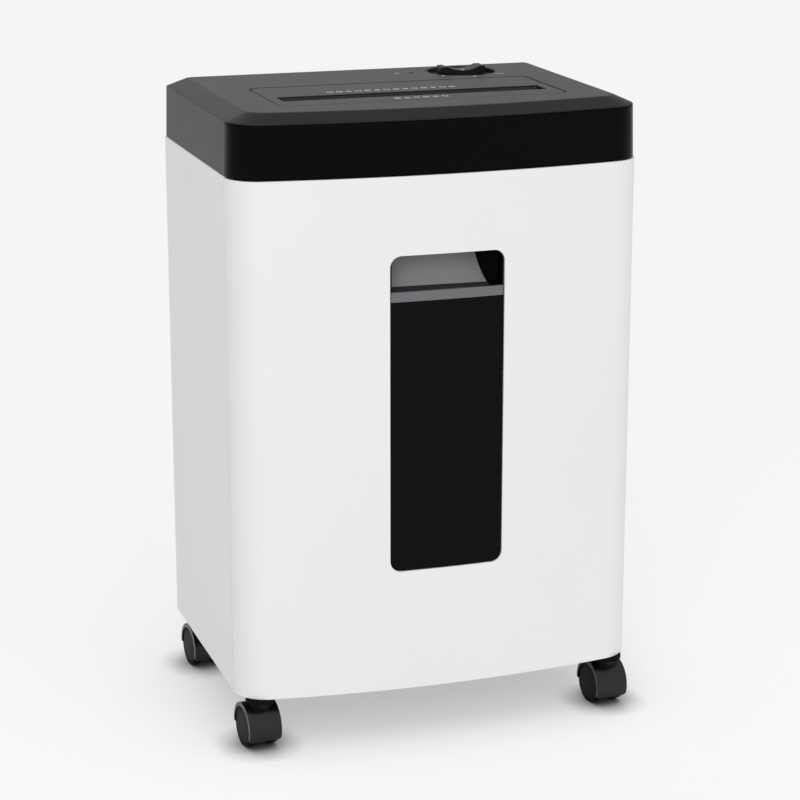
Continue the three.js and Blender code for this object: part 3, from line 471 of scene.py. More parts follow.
class Shape:
    """A closed solid in millimetres that is still being shaped."""

    def __init__(self, mesh: Optional[bmesh.types.BMesh] = None) -> None:
        """Wraps a mesh, or starts an empty one."""
        self.mesh = mesh or bmesh.new()

    @classmethod
    def prism(cls, pen: Pen, low: float, high: float) -> "Shape":
        """Raises an outline between two heights.

        Args:
            pen: the outline.
            low: height of the lower face.
            high: height of the upper face.

        Returns:
            The solid.
        """
        mesh = pen.ring()
        made = bmesh.ops.edgeloop_fill(mesh, edges=mesh.edges[:])
        bmesh.ops.translate(mesh, verts=mesh.verts[:], vec=(0, 0, low - pen.height))
        raised = bmesh.ops.extrude_face_region(mesh, geom=made["faces"])["geom"]
        upper = [g for g in raised if isinstance(g, bmesh.types.BMVert)]
        bmesh.ops.translate(mesh, verts=upper, vec=(0, 0, high - low))
        return cls(mesh).outward()

    @classmethod
    def loft(cls, pens: Sequence[Pen]) -> "Shape":
        """Bridges outlines that have the same number of points.

        Args:
            pens: outlines from the bottom up.

        Returns:
            The solid, closed at both ends.
        """
        mesh = bmesh.new()
        rings = []
        for pen in pens:
            before = set(mesh.edges)
            part = bpy.data.meshes.new("ring")
            pen.ring().to_mesh(part)
            mesh.from_mesh(part)
            bpy.data.meshes.remove(part)
            rings.append([e for e in mesh.edges if e not in before])
        for lower, upper in zip(rings, rings[1:]):
            bmesh.ops.bridge_loops(mesh, edges=lower + upper)
        for end in (rings[0], rings[-1]):
            bmesh.ops.edgeloop_fill(mesh, edges=end)
        return cls(mesh).outward()

    @classmethod
    def turned(cls, points: Sequence[tuple[float, float]], steps: int = 64) -> "Shape":
        """Turns a profile round Z.

        Args:
            points: radius and height, from axis to axis or round a closed ring.
            steps: facets of the full turn.

        Returns:
            The solid.
        """
        pen = polyline(points)
        if points[0][0] > 0:
            pen.ring()
        mesh = pen.mesh
        bmesh.ops.rotate(mesh, verts=mesh.verts[:], matrix=Matrix.Rotation(math.pi / 2, 3, "X"))
        bmesh.ops.spin(mesh, geom=mesh.verts[:] + mesh.edges[:], cent=(0, 0, 0), axis=(0, 0, 1),
                       dvec=(0, 0, 0), angle=math.tau, steps=steps, use_merge=True,
                       use_duplicate=False)
        bmesh.ops.remove_doubles(mesh, verts=mesh.verts[:], dist=MERGE)
        return cls(mesh).outward()

    def outward(self) -> "Shape":
        """Points every face outwards and returns the shape."""
        bmesh.ops.recalc_face_normals(self.mesh, faces=self.mesh.faces[:])
        return self

    def move(self, x: float = 0.0, y: float = 0.0, z: float = 0.0) -> "Shape":
        """Shifts the shape and returns it."""
        bmesh.ops.translate(self.mesh, verts=self.mesh.verts[:], vec=(x, y, z))
        return self

    def turn(self, matrix: Matrix) -> "Shape":
        """Turns the shape about the origin and returns it."""
        bmesh.ops.transform(self.mesh, matrix=matrix, verts=self.mesh.verts[:])
        return self.outward() if matrix.determinant() < 0 else self

    def stand(self, axis: Axis) -> "Shape":
        """Stands a shape drawn along Z on another axis and returns it."""
        return self.turn(axis.value)

    def copy(self) -> "Shape":
        """Returns a copy of the shape."""
        return Shape(self.mesh.copy())

    def add(self, *others: "Shape") -> "Shape":
        """Puts loose shapes beside this one without joining them, and returns it."""
        for other in others:
            part = bpy.data.meshes.new("part")
            other.mesh.to_mesh(part)
            self.mesh.from_mesh(part)
            bpy.data.meshes.remove(part)
        return self

    def tidy(self) -> "Shape":
        """Merges doubles and dissolves flat seams, and returns the shape."""
        bmesh.ops.remove_doubles(self.mesh, verts=self.mesh.verts[:], dist=CUT_MERGE)
        bmesh.ops.dissolve_degenerate(self.mesh, edges=self.mesh.edges[:], dist=MERGE)
        bmesh.ops.dissolve_limit(self.mesh, angle_limit=math.radians(FLAT_DEGREES),
                                 verts=self.mesh.verts[:], edges=self.mesh.edges[:])
        return self

    def combine(self, other: "Shape", operation: str) -> "Shape":
        """Joins or cuts with another solid.

        Args:
            other: the second solid.
            operation: UNION, DIFFERENCE or INTERSECT.

        Returns:
            The shape.
        """
        first, second = (item.loose_object() for item in (self, other))
        modifier = first.modifiers.new("combine", "BOOLEAN")
        modifier.operation = operation
        modifier.solver = "EXACT"
        modifier.object = second
        graph = bpy.context.evaluated_depsgraph_get()
        result = bpy.data.meshes.new_from_object(first.evaluated_get(graph))
        self.mesh = bmesh.new()
        self.mesh.from_mesh(result)
        bpy.data.meshes.remove(result)
        for item in (first, second):
            data = item.data
            bpy.data.objects.remove(item)
            bpy.data.meshes.remove(data)
        return self.tidy()

    def loose_object(self) -> bpy.types.Object:
        """Returns a passing object that holds the mesh."""
        data = bpy.data.meshes.new("passing")
        self.mesh.to_mesh(data)
        item = bpy.data.objects.new("passing", data)
        bpy.context.collection.objects.link(item)
        return item

    def cut(self, *others: "Shape") -> "Shape":
        """Cuts other solids out of this one and returns it."""
        for other in others:
            self.combine(other, "DIFFERENCE")
        return self

    def join(self, *others: "Shape") -> "Shape":
        """Joins other solids to this one and returns it."""
        for other in others:
            self.combine(other, "UNION")
        return self

    def common(self, other: "Shape") -> "Shape":
        """Keeps what two solids share and returns it."""
        return self.combine(other, "INTERSECT")

    def keep(self, point: tuple[float, float, float],
             normal: tuple[float, float, float]) -> "Shape":
        """Cuts with a plane, keeps the side the normal points to, and closes the cut.

        Args:
            point: on the plane.
            normal: towards the kept side.

        Returns:
            The shape.
        """
        made = bmesh.ops.bisect_plane(
            self.mesh, geom=self.mesh.verts[:] + self.mesh.edges[:] + self.mesh.faces[:],
            dist=PLANE_MERGE, plane_co=point, plane_no=normal, clear_inner=True)
        edges = [g for g in made["geom_cut"] if isinstance(g, bmesh.types.BMEdge)]
        bmesh.ops.edgeloop_fill(self.mesh, edges=edges)
        return self.outward()

    def soften(self, width: float, angle: float = 28.0, segments: int = 3,
               where: Optional[Any] = None) -> "Shape":
        """Rounds the sharp edges.

        Args:
            width: how far the rounding reaches along each face.
            angle: edges that bend more than this many degrees are rounded.
            segments: facets of each rounding.
            where: test that an edge's middle has to pass.

        Returns:
            The shape.
        """
        limit = math.radians(angle)
        sharp = [e for e in self.mesh.edges
                 if len(e.link_faces) == 2 and e.calc_face_angle() > limit
                 and (where is None or where((e.verts[0].co + e.verts[1].co) / 2))]
        bmesh.ops.bevel(self.mesh, geom=sharp, offset=width, offset_type="OFFSET",
                        segments=segments, profile=0.5, affect="EDGES", clamp_overlap=True,
                        material=-1)
        return self

    def piece(self, name: str, finish: Finish, body: str, replaces: Iterable[str] = (),
              smooth: float = 32.0) -> bpy.types.Object:
        """Turns the shape into a finished piece that rides on a body.

        Args:
            name: of the piece.
            finish: its material.
            body: CAD body that it moves with.
            replaces: CAD nodes that it stands for.
            smooth: edges that bend less than this many degrees are shaded smooth.

        Returns:
            The object, in metres, at the origin.
        """
        bmesh.ops.scale(self.mesh, vec=(MM, MM, MM), verts=self.mesh.verts[:])
        data = bpy.data.meshes.new(name)
        for face in self.mesh.faces:
            face.smooth = True
        self.mesh.to_mesh(data)
        self.mesh.free()
        data.set_sharp_from_angle(angle=math.radians(smooth))
        data.materials.append(finish.material())
        item = bpy.data.objects.new(name, data)
        bpy.context.collection.objects.link(item)
        weighted = item.modifiers.new("weighted_normals", "WEIGHTED_NORMAL")
        weighted.keep_sharp = True
        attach(item, body)
        nodes = list(replaces)
        if nodes:
            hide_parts(*nodes)
        log.info("%s: %d faces on %s", name, len(data.polygons), body)
        return item


@dataclass(frozen=True)
class Span:
    """Lowest and highest corner of a CAD node, in millimetres."""

    low: Vector
    high: Vector

    @classmethod
    def of(cls, node: str) -> "Span":
        """Reads a node's box."""
        low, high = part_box(node)
        return cls(low / MM, high / MM)

    @property
    def middle(self) -> Vector:
        """Middle of the box."""
        return (self.low + self.high) / 2


def block(x0: float, x1: float, y0: float, y1: float, z0: float, z1: float) -> Shape:
    """Makes a plain block that other shapes are cut or joined with."""
    mesh = bmesh.new()
    bmesh.ops.create_cube(mesh, size=1.0)
    bmesh.ops.scale(mesh, vec=(x1 - x0, y1 - y0, z1 - z0), verts=mesh.verts[:])
    return Shape(mesh).move((x0 + x1) / 2, (y0 + y1) / 2, (z0 + z1) / 2)


def rod(radius: float, low: float, high: float, steps: int = 32) -> Shape:
    """Makes a plain rod along Z that other shapes are cut or joined with."""
    mesh = bmesh.new()
    bmesh.ops.create_cone(mesh, cap_ends=True, segments=steps, radius1=radius, radius2=radius,
                          depth=high - low)
    return Shape(mesh).move(z=(low + high) / 2)


@dataclass(frozen=True)
class Plan:
    """Outline seen from above: bowed front, round front corners, small rear corners."""

    half_width: float = 175.0
    front: float = -125.5
    rear: float = 125.5
    bow: float = 974.0
    corner: float = 29.0
    rear_corner: float = 4.0
    bow_steps: int = 40
    corner_steps: int = 14

    @property
    def bow_centre(self) -> float:
        """Y of the bow's centre."""
        return self.front + self.bow

    @property
    def corner_x(self) -> float:
        """X of the right front corner's centre."""
        return self.half_width - self.corner

    @property
    def seam(self) -> float:
        """Y where the front corners meet the straight sides."""
        return self.bow_centre - math.sqrt((self.bow - self.corner) ** 2 - self.corner_x ** 2)

    @property
    def lean(self) -> float:
        """Half of the angle, in degrees, that the bow spans."""
        return math.degrees(math.asin(self.corner_x / (self.bow - self.corner)))

    def inset(self, by: float) -> "Plan":
        """Returns the outline moved in on every side."""
        return Plan(self.half_width - by, self.front + by, self.rear - by, self.bow - by,
                    self.corner - by, max(self.rear_corner - by, 0.5), self.bow_steps,
                    self.corner_steps)

    def front_run(self, pen: Pen) -> Pen:
        """Draws the left corner, the bow and the right corner, and returns the pen."""
        pen.arc(-self.corner_x, self.seam, 90 - self.lean, self.corner_steps)
        pen.arc(0, self.bow_centre, 2 * self.lean, self.bow_steps)
        return pen.arc(self.corner_x, self.seam, 90 - self.lean, self.corner_steps)

    def outline(self, height: float = 0.0) -> Pen:
        """Draws the whole outline and returns the pen."""
        x, y, r = self.half_width, self.rear, self.rear_corner
        pen = self.front_run(Pen(-x, self.seam, height)).line(x, y - r)
        pen.arc(x - r, y - r, 90, 3).line(-x + r, y)
        return pen.arc(-x + r, y - r, 90, 3)

    def band(self, wall: float) -> Pen:
        """Draws the front wall alone, as thick as given, and returns the pen."""
        inner = self.inset(wall)
        pen = self.front_run(Pen(-self.half_width, self.seam))
        pen.line(inner.half_width, inner.seam)
        pen.arc(inner.corner_x, inner.seam, inner.lean - 90, self.corner_steps)
        pen.arc(0, inner.bow_centre, -2 * inner.lean, self.bow_steps)
        return pen.arc(-inner.corner_x, inner.seam, inner.lean - 90, self.corner_steps)


# ------------------------------------------------------------------ cabinet


@dataclass
class Cabinet:
    """White side panels and the rear panel."""

    plan: Plan = field(default_factory=Plan)
    wall: float = 2.5
    turned_in: float = 14.0
    edge: float = 0.7
    seam_edge: float = 0.2
    seam_step: float = 0.5          # the visible seam is a little wider than the gap
    vent_length: float = 46.0
    vent_height: float = 3.2
    vent_pitch: float = 8.0
    vent_rows: int = 7
    vent_starts: tuple[float, float] = (40.0, 94.0)
    vent_drop: float = 34.0         # from the panel's top to the highest slot
    past: float = 2.0               # how far a cutting shape stands out of what it cuts
    screw: float = 3.4              # radius of a screw's head
    screw_x: float = 144.0
    screw_edge: float = 16.0        # from the panel's ends to the outer screws
    screw_depth: float = 0.75
    screw_shoulder: float = 0.35
    well_depth: float = 0.9
    well_gap: float = 0.4
    cross_half: float = 0.4         # half width of the cross recess
    cross_depth: float = 0.5

    def build(self) -> None:
        """Builds the three panels."""
        for side in Side:
            self.side_panel(side)
        self.rear_panel()

    def side_panel(self, side: Side) -> None:
        """Builds one side panel with its turned-in rear edge."""
        name = f"{side.name.lower()}_side_panel"
        span = Span.of(name)
        x, r = self.plan.half_width, self.plan.rear_corner
        y = span.high.y
        seam = span.low.y + self.seam_step
        pen = Pen(x, seam).line(x, y - r).arc(x - r, y - r, 90, 5)
        pen.line(x - self.turned_in, y).line(x - self.turned_in, y - self.wall)
        pen.line(x - self.wall, y - self.wall).line(x - self.wall, seam)
        panel = Shape.prism(pen, span.low.z, span.high.z)
        panel.soften(self.edge, where=lambda p: p.y > seam + SMALL)
        panel.soften(self.seam_edge, 50, 2, lambda p: p.y < seam + SMALL)
        if side is Side.LEFT:
            panel.turn(Matrix.Scale(-1, 4, (1, 0, 0)))
        panel.piece(f"{name}_shell", WHITE_ABS, "cabinet", [name])

    def rear_panel(self) -> None:
        """Builds the rear panel with its air slots and countersunk screws."""
        span = Span.of("rear_panel")
        pen = rounded_box(span.low.x, span.high.x, span.low.z, span.high.z, 2.0, 4)
        panel = Shape.prism(pen, 0, self.wall).stand(Axis.Y).move(y=span.high.y)
        slots = Shape()
        for row in range(self.vent_rows):
            z = span.high.z - self.vent_drop - row * self.vent_pitch
            for x in self.vent_starts:
                pen = rounded_box(x, x + self.vent_length, z, z + self.vent_height,
                                  self.vent_height / 2 - 0.05, 5)
                slot = Shape.prism(pen, -self.past, self.wall + self.past)
                slots.add(slot.stand(Axis.Y).move(y=span.high.y))
        wells, screws = Shape(), Shape()
        for x in (-self.screw_x, self.screw_x):
            for z in (span.low.z + self.screw_edge, span.middle.z, span.high.z - self.screw_edge):
                place = (Matrix.Translation((x, span.high.y, z))
                         @ Matrix.Rotation(-math.pi / 2, 4, "X"))
                wells.add(rod(self.screw + self.well_gap, -self.well_depth, self.past).turn(place))
                screws.add(self.screw_head().turn(place))
        panel.cut(slots, wells).soften(0.4, 40, 2)
        panel.piece("rear_panel_vented", WHITE_ABS, "cabinet", ["rear_panel"])
        screws.piece("rear_screws", ZINC_STEEL, "cabinet")

    def screw_head(self) -> Shape:
        """Makes one cross-head screw, its top just under the panel's face."""
        r, low, half = self.screw, -self.screw_depth, self.cross_half
        head = Shape.turned([(0, low), (r, low), (r, -self.screw_shoulder), (r * 0.8, -0.12),
                             (0, -0.05)], 24)
        bar = r * 0.6
        return head.cut(block(-bar, bar, -half, half, -self.cross_depth, 1),
                        block(-half, half, -bar, bar, -self.cross_depth, 1))


# ------------------------------------------------------------------ drawer


@dataclass
class Drawer:
    """Bowed front panel with its window and finger grip, and the bin behind it."""

    plan: Plan = field(default_factory=Plan)
    wall: float = 2.5
    edge: float = 0.7
    seam_edge: float = 0.2
    half_opening: float = 49.0
    bottom: float = 150.0
    top: float = 417.0
    corner: float = 9.5
    lip_low: float = 379.0
    lip_height: float = 8.0
    lip_thickness: float = 3.0
    groove: float = 5.0
    recess: float = 0.9
    flange: float = 5.0
    flange_thickness: float = 2.0
    back: float = 2.8
    depth: float = 41.0
    grip_wall: float = 1.8
    lean_in: float = 11.5
    sweep_reach: float = 20.0
    sweep_rise: float = 2.0
    sweep_end: float = 6.0
    side_wall: float = 0.9          # the housing's side walls are thinner than its roof
    housing_setback: float = 9.0
    lip_edge: float = 1.6
    groove_top: float = 386.4
    groove_slant: float = 0.01
    fit: float = 0.4                # gap between the opening and what fills it
    border_fit: float = 0.6
    cutter_reach: float = 40.0      # how far a cutting shape runs past the opening
    ahead: float = 6.0              # how far the hollow's shape stands out in front
    behind: float = 9.0             # how far the region under the hollow runs past its back
    sweep_steps: int = 14
    rib_offset: float = 34.0        # from the opening's side to a rib's middle
    rib_half: float = 1.5
    rib_low: float = 59.5
    rib_high: float = 358.0
    bin_half: float = 142.0
    bin_wall: float = 2.2
    bin_corner: float = 12.0
    bin_edge: float = 0.6
    ledge_height: float = 203.5
    ledge_thickness: float = 3.5
    ledge_setback: float = 10.0
    view_half: float = 46.0
    view_low: float = 156.0
    view_high: float = 352.0

    def build(self) -> None:
        """Builds every piece of the drawer."""
        self.front_panel()
        self.window()
        self.grip()
        self.bin()

    def through(self, clearance: float, low: float, high: float) -> Shape:
        """Makes the block that fills the opening.

        Args:
            clearance: how far it stays inside the opening.
            low: lower end.
            high: upper end.

        Returns:
            The block, along Y.
        """
        x = self.half_opening - clearance
        pen = rounded_box(-x, x, low, high, self.corner - clearance, 10)
        made = Shape.prism(pen, -self.cutter_reach, self.cutter_reach)
        return made.stand(Axis.Y).move(y=self.plan.front)

    def front_zone(self, half: float, rear: float, low: float, high: float) -> Shape:
        """Makes a block behind the front, from before the bow to a given Y."""
        return block(-half, half, self.plan.front - 14.5, rear, low, high)

    def front_panel(self) -> None:
        """Builds the white bowed panel, its opening and the two ribs that hold the bin."""
        span = Span.of("front_panel")
        shell = Shape.prism(self.plan.band(self.wall), span.low.z, span.high.z)
        rear = self.plan.seam - SEAM / 2
        shell.keep((0, rear, 0), (0, -1, 0))
        shell.cut(self.through(0, self.bottom, self.top))
        shell.soften(self.edge, 30, 3, lambda p: p.y < rear - SMALL)
        shell.soften(self.seam_edge, 50, 2, lambda p: p.y > rear - SMALL)
        bin_front = Span.of("waste_bin").low.y
        ribs = []
        for side in Side:
            x = side.value * (self.half_opening + self.rib_offset)
            pen = rounded_box(x - self.rib_half, x + self.rib_half, self.plan.front + self.wall,
                              bin_front - 0.3, 0.6, 3)
            ribs.append(Shape.prism(pen, self.rib_low, self.rib_high).common(
                Shape.prism(self.plan.inset(self.wall * 0.6).outline(), self.rib_low - 9.5,
                            self.rib_high + 12)))
        shell.join(*ribs)
        shell.piece("front_panel_bowed", WHITE_ABS, "drawer", ["front_panel"])

    def window(self) -> None:
        """Builds the smoked pane with the hidden border that holds it."""
        span = Span.of("window_panel")
        over = self.lip_low + self.cutter_reach
        depth = self.back + self.flange_thickness - self.recess
        sheet = Shape.prism(self.plan.inset(self.recess).band(depth), self.bottom - self.flange,
                            self.lip_low)
        pane = sheet.common(self.through(self.fit, self.bottom + self.fit, over))
        pane.keep((0, 0, span.high.z), (0, 0, -1)).soften(0.45, 30, 3)
        pane.piece("window_pane", SMOKED_ACRYLIC, "drawer", ["window_panel"])
        reach = self.half_opening + self.flange
        border = Shape.prism(self.plan.inset(self.back).band(self.flange_thickness),
                             self.bottom - self.flange, span.high.z)
        border.common(self.front_zone(reach, -80, 100, 500))
        border.cut(self.through(self.border_fit, self.bottom + self.border_fit, over))
        border.soften(0.3, 40, 2)
        border.piece("window_border", BLACK_ABS, "drawer")

    def sweep(self, wall: float) -> list[tuple[float, float]]:
        """Lists the side view of the finger hollow's back.

        Args:
            wall: how far outside the hollow's face the line runs.

        Returns:
            Points of Y and Z from the groove up to the roof.
        """
        floor = self.lip_low + self.grip_wall - wall
        end_y = self.plan.front + self.depth + wall
        end_z = self.top - self.fit - self.grip_wall + wall - self.sweep_end
        start_y = self.plan.front + self.recess + self.lip_thickness + self.groove + wall
        points = []
        for step in range(self.sweep_steps + 1):
            t = step / self.sweep_steps
            a, b, c = (1 - t) ** 2, 2 * t * (1 - t), t * t
            points.append((a * start_y + b * (start_y + self.sweep_reach) + c * end_y,
                           a * floor + b * (floor + self.sweep_rise) + c * end_z))
        return points

    def taper(self, half: float, low: float, high: float) -> Shape:
        """Makes the block between the hollow's two leaning side walls."""
        front, back = self.plan.front, self.plan.front + self.depth + self.grip_wall
        rear = half - self.lean_in
        before = front - self.ahead
        pen = polyline([(-half, before), (half, before), (half, front), (rear, back),
                        (-rear, back), (-half, front)])
        return Shape.prism(pen, low, high)

    @property
    def lip_back(self) -> float:
        """Y of the lip's rear face."""
        return self.plan.front + self.recess + self.lip_thickness

    @property
    def lip_top(self) -> float:
        """Height of the lip's upper edge."""
        return self.lip_low + self.lip_height

    @property
    def grip_roof(self) -> float:
        """Height of the hollow's roof."""
        return self.top - self.fit - self.grip_wall

    @property
    def grip_half(self) -> float:
        """Half of the grip's width at the front."""
        return self.half_opening - self.fit

    def bowed(self, inset: float) -> Shape:
        """Makes the region behind the bowed front, moved in by an inset, at the grip's height."""
        return Shape.prism(self.plan.inset(inset).outline(), self.lip_low - 5, self.top + 8)

    def grip_block(self) -> Shape:
        """Makes the grip as one solid, as far as its outer walls."""
        front, wall, half = self.plan.front, self.grip_wall, self.grip_half
        end, top = front + self.depth + wall, self.grip_roof + wall
        side = polyline([(front, self.lip_low)] + self.sweep(wall) + [(end, top), (front, top)])
        solid = Shape.prism(side, -half, half).stand(Axis.X)
        return solid.common(self.taper(half, self.lip_low - 1, top + 1))

    def grip_hollow(self) -> Shape:
        """Makes the room for the fingers, with the groove behind the lip."""
        front, wall, half = self.plan.front, self.grip_wall, self.grip_half
        floor = self.lip_low + wall
        before = front - self.ahead
        side = polyline([(before, self.grip_roof), (before, self.lip_top),
                         (self.lip_back, self.lip_top), (self.lip_back, floor)]
                        + self.sweep(0) + [(front + self.depth, self.grip_roof)])
        room = Shape.prism(side, -half, half).stand(Axis.X)
        return room.common(self.taper(half - self.side_wall, floor - 1, self.grip_roof + 1))

    def under_hollow(self) -> Shape:
        """Makes the region of the lip, the groove's floor and the sweep under the hollow."""
        front, wall, half = self.plan.front, self.grip_wall, self.grip_half
        sweep = self.sweep(0)
        before, rear = front - self.ahead, front + self.depth + self.behind
        side = polyline([(before, self.lip_low - 1), (before, self.lip_top),
                         (self.lip_back, self.lip_top), (self.lip_back, self.lip_low + wall)]
                        + sweep + [(rear, sweep[-1][1]), (rear, self.lip_low - 1)])
        region = Shape.prism(side, -half, half).stand(Axis.X)
        walls = self.taper(half - self.side_wall, self.lip_low - 2, self.grip_roof + 1)
        return region.common(walls.join(
            block(-half, half, before, self.lip_back, self.lip_low - 2, self.lip_top + 1)))

    def grip(self) -> None:
        """Builds the lip, the swept back, the groove between them, dark with painted shade, and the
        housing.
        """
        under = self.under_hollow()
        window = self.through(self.fit, self.bottom, self.top - self.fit)
        insert = self.grip_block().common(under.copy()).common(self.bowed(self.recess))
        window.join(self.bowed(self.back).common(
            self.front_zone(60, -60, self.lip_low - 5, self.top + 8)))
        insert.common(window.copy())
        behind_lip = (0, self.lip_back + 0.01, 0)
        slant = (self.groove_slant, 0, 1)
        lip = insert.copy().keep(behind_lip, (0, -1, 0))
        lip.soften(self.lip_edge, 30, 6, lambda p: p.y < self.lip_back - 0.5
                   or p.z > self.lip_low + 0.5)
        # the lip takes a darker copy of the grip's grey: painted shade
        lip.piece("grip_lip", GRIP_LIP_PAINTED_SHADE, "drawer", ["grip_scoop"])
        insert.keep(behind_lip, (0, 1, 0))
        # the back takes a paler copy of the grip's grey: painted light
        back = insert.copy().keep((0, 0, self.groove_top), slant)
        back.soften(0.3, 40, 2).piece("grip_back", GRIP_BACK_PAINTED_LIGHT, "drawer")
        # the strip below the groove's top line is painted dark grey as the shade that the lip casts into
        # the groove
        groove = insert.keep((0, 0, self.groove_top - 0.2), tuple(-v for v in slant))
        groove.piece("grip_groove", GROOVE_PAINTED_SHADE, "drawer")
        housing = self.grip_block().cut(self.grip_hollow(), under)
        housing.common(window).common(self.bowed(self.housing_setback))
        housing.soften(0.3, 40, 2).piece("grip_housing", GLOSS_ABS, "drawer")
        reach = self.half_opening + self.flange
        border = Shape.prism(self.plan.inset(self.back).band(self.housing_setback - self.back),
                             self.lip_low, self.top + self.flange - self.fit)
        border.common(self.front_zone(reach, -80, 100, 500))
        border.cut(self.through(self.border_fit, self.lip_low - self.cutter_reach,
                                self.top - self.border_fit))
        border.soften(0.3, 40, 2)
        border.piece("grip_border", BLACK_ABS, "drawer")

    def bin(self) -> None:
        """Builds the bin: a deep tub with side ledges and a view cutout."""
        span = Span.of("waste_bin")
        half, wall, corner = self.bin_half, self.bin_wall, self.bin_corner
        outer = rounded_box(-half, half, span.low.y, span.high.y, corner, 8)
        inner = rounded_box(-half + wall, half - wall, span.low.y + wall, span.high.y - wall,
                            corner - wall, 8)
        tub = Shape.prism(outer, span.low.z, span.high.z)
        tub.cut(Shape.prism(inner, span.low.z + wall, span.high.z + 5))
        for side in Side:
            a, b = sorted((side.value * (half - 1), side.value * span.high.x))
            pen = rounded_box(a, b, span.low.y + self.ledge_setback, span.high.y, 0.8, 3)
            tub.join(Shape.prism(pen, self.ledge_height, self.ledge_height + self.ledge_thickness))
        view = rounded_box(-self.view_half, self.view_half, self.view_low, self.view_high, 6, 6)
        tub.cut(Shape.prism(view, -20, 20).stand(Axis.Y).move(y=span.low.y))
        tub.soften(self.bin_edge, 40, 2)
        tub.piece("bin_tub", BIN_PP, "drawer", ["waste_bin"])


# ------------------------------------------------------------------ head


@dataclass
class Head:
    """Grey top cover, gloss fascia, feed plate, dial and lamp."""

    plan: Plan = field(default_factory=Plan)
    inset: float = 1.0
    draft: float = 1.15
    edge_height: float = 526.0
    slope_side: float = 19.0
    slope_front: float = 15.0
    slope_rear: float = 9.5
    top_corner: float = 15.5
    top_bow: float = 868.0
    wall: float = 2.5
    roof: float = 2.7
    slot_y: float = -34.0
    slot_half: float = 114.0
    mouth: float = 23.0
    throat: float = 6.0
    funnel: float = 14.5
    funnel_wall: float = 2.0
    rim: float = 1.0
    plate_half: float = 124.0
    plate_front: float = -72.0
    plate_rear: float = 34.0
    plate_corner: float = 10.0
    plate_seam: float = 1.2
    deep: float = 20.0              # how far a cutting shape runs down from the top
    above: float = 5.0              # and how far it stands out over it
    dish_radius: float = 31.0
    dish_depth: float = 5.0
    dish_gap: float = 0.3
    lens_radius: float = 2.2
    lens_gap: float = 0.3
    inlet_gap: float = 0.3
    knob_radius: float = 21.5
    knob_half: float = 8.5          # half width of the dial's bar
    knob_dip: float = 3.5
    dip_steps: int = 12
    rib_radius: float = 0.62
    rib_degrees: float = 7.5
    rib_pitch: float = 2.6
    tick_radius: float = 33.5
    tick_width: float = 1.2
    symbol_offset: float = 13.0     # from the lamp to the small symbol beside it
    ink_half: float = 0.05          # half the thickness of the print
    mark_size: float = 4.2
    mark_line: float = 1.0
    mark_pitch: float = 8.2
    rear_start: float = -64.0
    front_start: float = -21.0
    rear_row: float = -8.5          # Y of the row behind the slot
    front_row: float = -57.5
    rear_marks: int = 14
    front_marks: int = 6

    def __post_init__(self) -> None:
        """Reads the head's heights from the frame."""
        cover = Span.of("head_top_cover")
        self.base = cover.low.z
        self.height = cover.high.z
        self.seam = self.plan.seam

    def build(self) -> None:
        """Builds every piece of the head."""
        self.top_cover()
        self.fascia()
        self.feed_plate()
        self.dish()
        self.knob()
        self.lamp()
        self.marks()

    def form(self, wall: float, base: float, roof: float, edge: float) -> Shape:
        """Makes the head's outer form, moved in by a wall.

        Args:
            wall: how far it is moved in.
            base: height of its open end.
            roof: height of its top.
            edge: rounding of its two creases.

        Returns:
            The closed form.
        """
        low = self.plan.inset(self.inset + wall)
        bend = self.plan.inset(self.inset + self.draft + wall)
        top = Plan(self.plan.half_width - self.slope_side - wall,
                   self.plan.front + self.slope_front + wall,
                   self.plan.rear - self.slope_rear - wall, self.top_bow,
                   self.top_corner - wall * 0.5, 4.0, self.plan.bow_steps, self.plan.corner_steps)
        bend_z = self.edge_height - wall * 0.25
        made = Shape.loft([low.outline(base), bend.outline(bend_z), top.outline(roof)])
        if edge:
            made.soften(edge, 14, 4, lambda p: abs(p.z - bend_z) < SMALL)
            made.soften(edge * 1.6, 14, 4, lambda p: abs(p.z - roof) < SMALL)
        return made

    def shell(self) -> Shape:
        """Makes the hollow head before it is parted into cover and fascia."""
        outer = self.form(0, self.base, self.height, 0.9)
        return outer.cut(self.form(self.wall, self.base - 2, self.height - self.roof, 0))

    def plate_outline(self, clearance: float) -> Pen:
        """Draws the feed plate's outline, moved in by a clearance."""
        half = self.plate_half - clearance
        return rounded_box(-half, half, self.plate_front + clearance, self.plate_rear - clearance,
                           self.plate_corner - clearance, 8)

    def top_cover(self) -> None:
        """Builds the grey cover with its openings."""
        dish = Span.of("knob_dish").middle
        lamp = Span.of("lamp_lens").middle
        inlet = Span.of("power_inlet")
        cover = self.shell()
        cover.cut(block(-200, 200, -200, self.seam + SEAM / 2, self.base - 5,
                        self.edge_height - SEAM))
        low, high = self.height - self.deep, self.height + self.above
        cover.cut(Shape.prism(self.plate_outline(0), low, high),
                  rod(self.dish_radius + self.dish_gap, low, high, 72).move(dish.x, dish.y),
                  rod(self.lens_radius + self.lens_gap, low, high, 24).move(lamp.x, lamp.y))
        gap = self.inlet_gap
        socket = rounded_box(inlet.low.x - gap, inlet.high.x + gap, inlet.low.z - gap,
                             inlet.high.z + gap, 4, 6)
        cover.cut(Shape.prism(socket, -10, 10).stand(Axis.Y).move(y=self.plan.rear))
        cover.soften(0.35, 45, 2)
        cover.piece("head_cover_grey", GREY_ABS, "cabinet", ["head_top_cover"])

    def fascia(self) -> None:
        """Builds the gloss band round the front."""
        band = self.shell()
        band.common(block(-200, 200, -200, self.seam - SEAM / 2, self.base - 1,
                          self.edge_height - 2 * SEAM))
        band.soften(0.5, 40, 3)
        band.piece("fascia_gloss", GLOSS_ABS, "cabinet", ["head_front_fascia"])

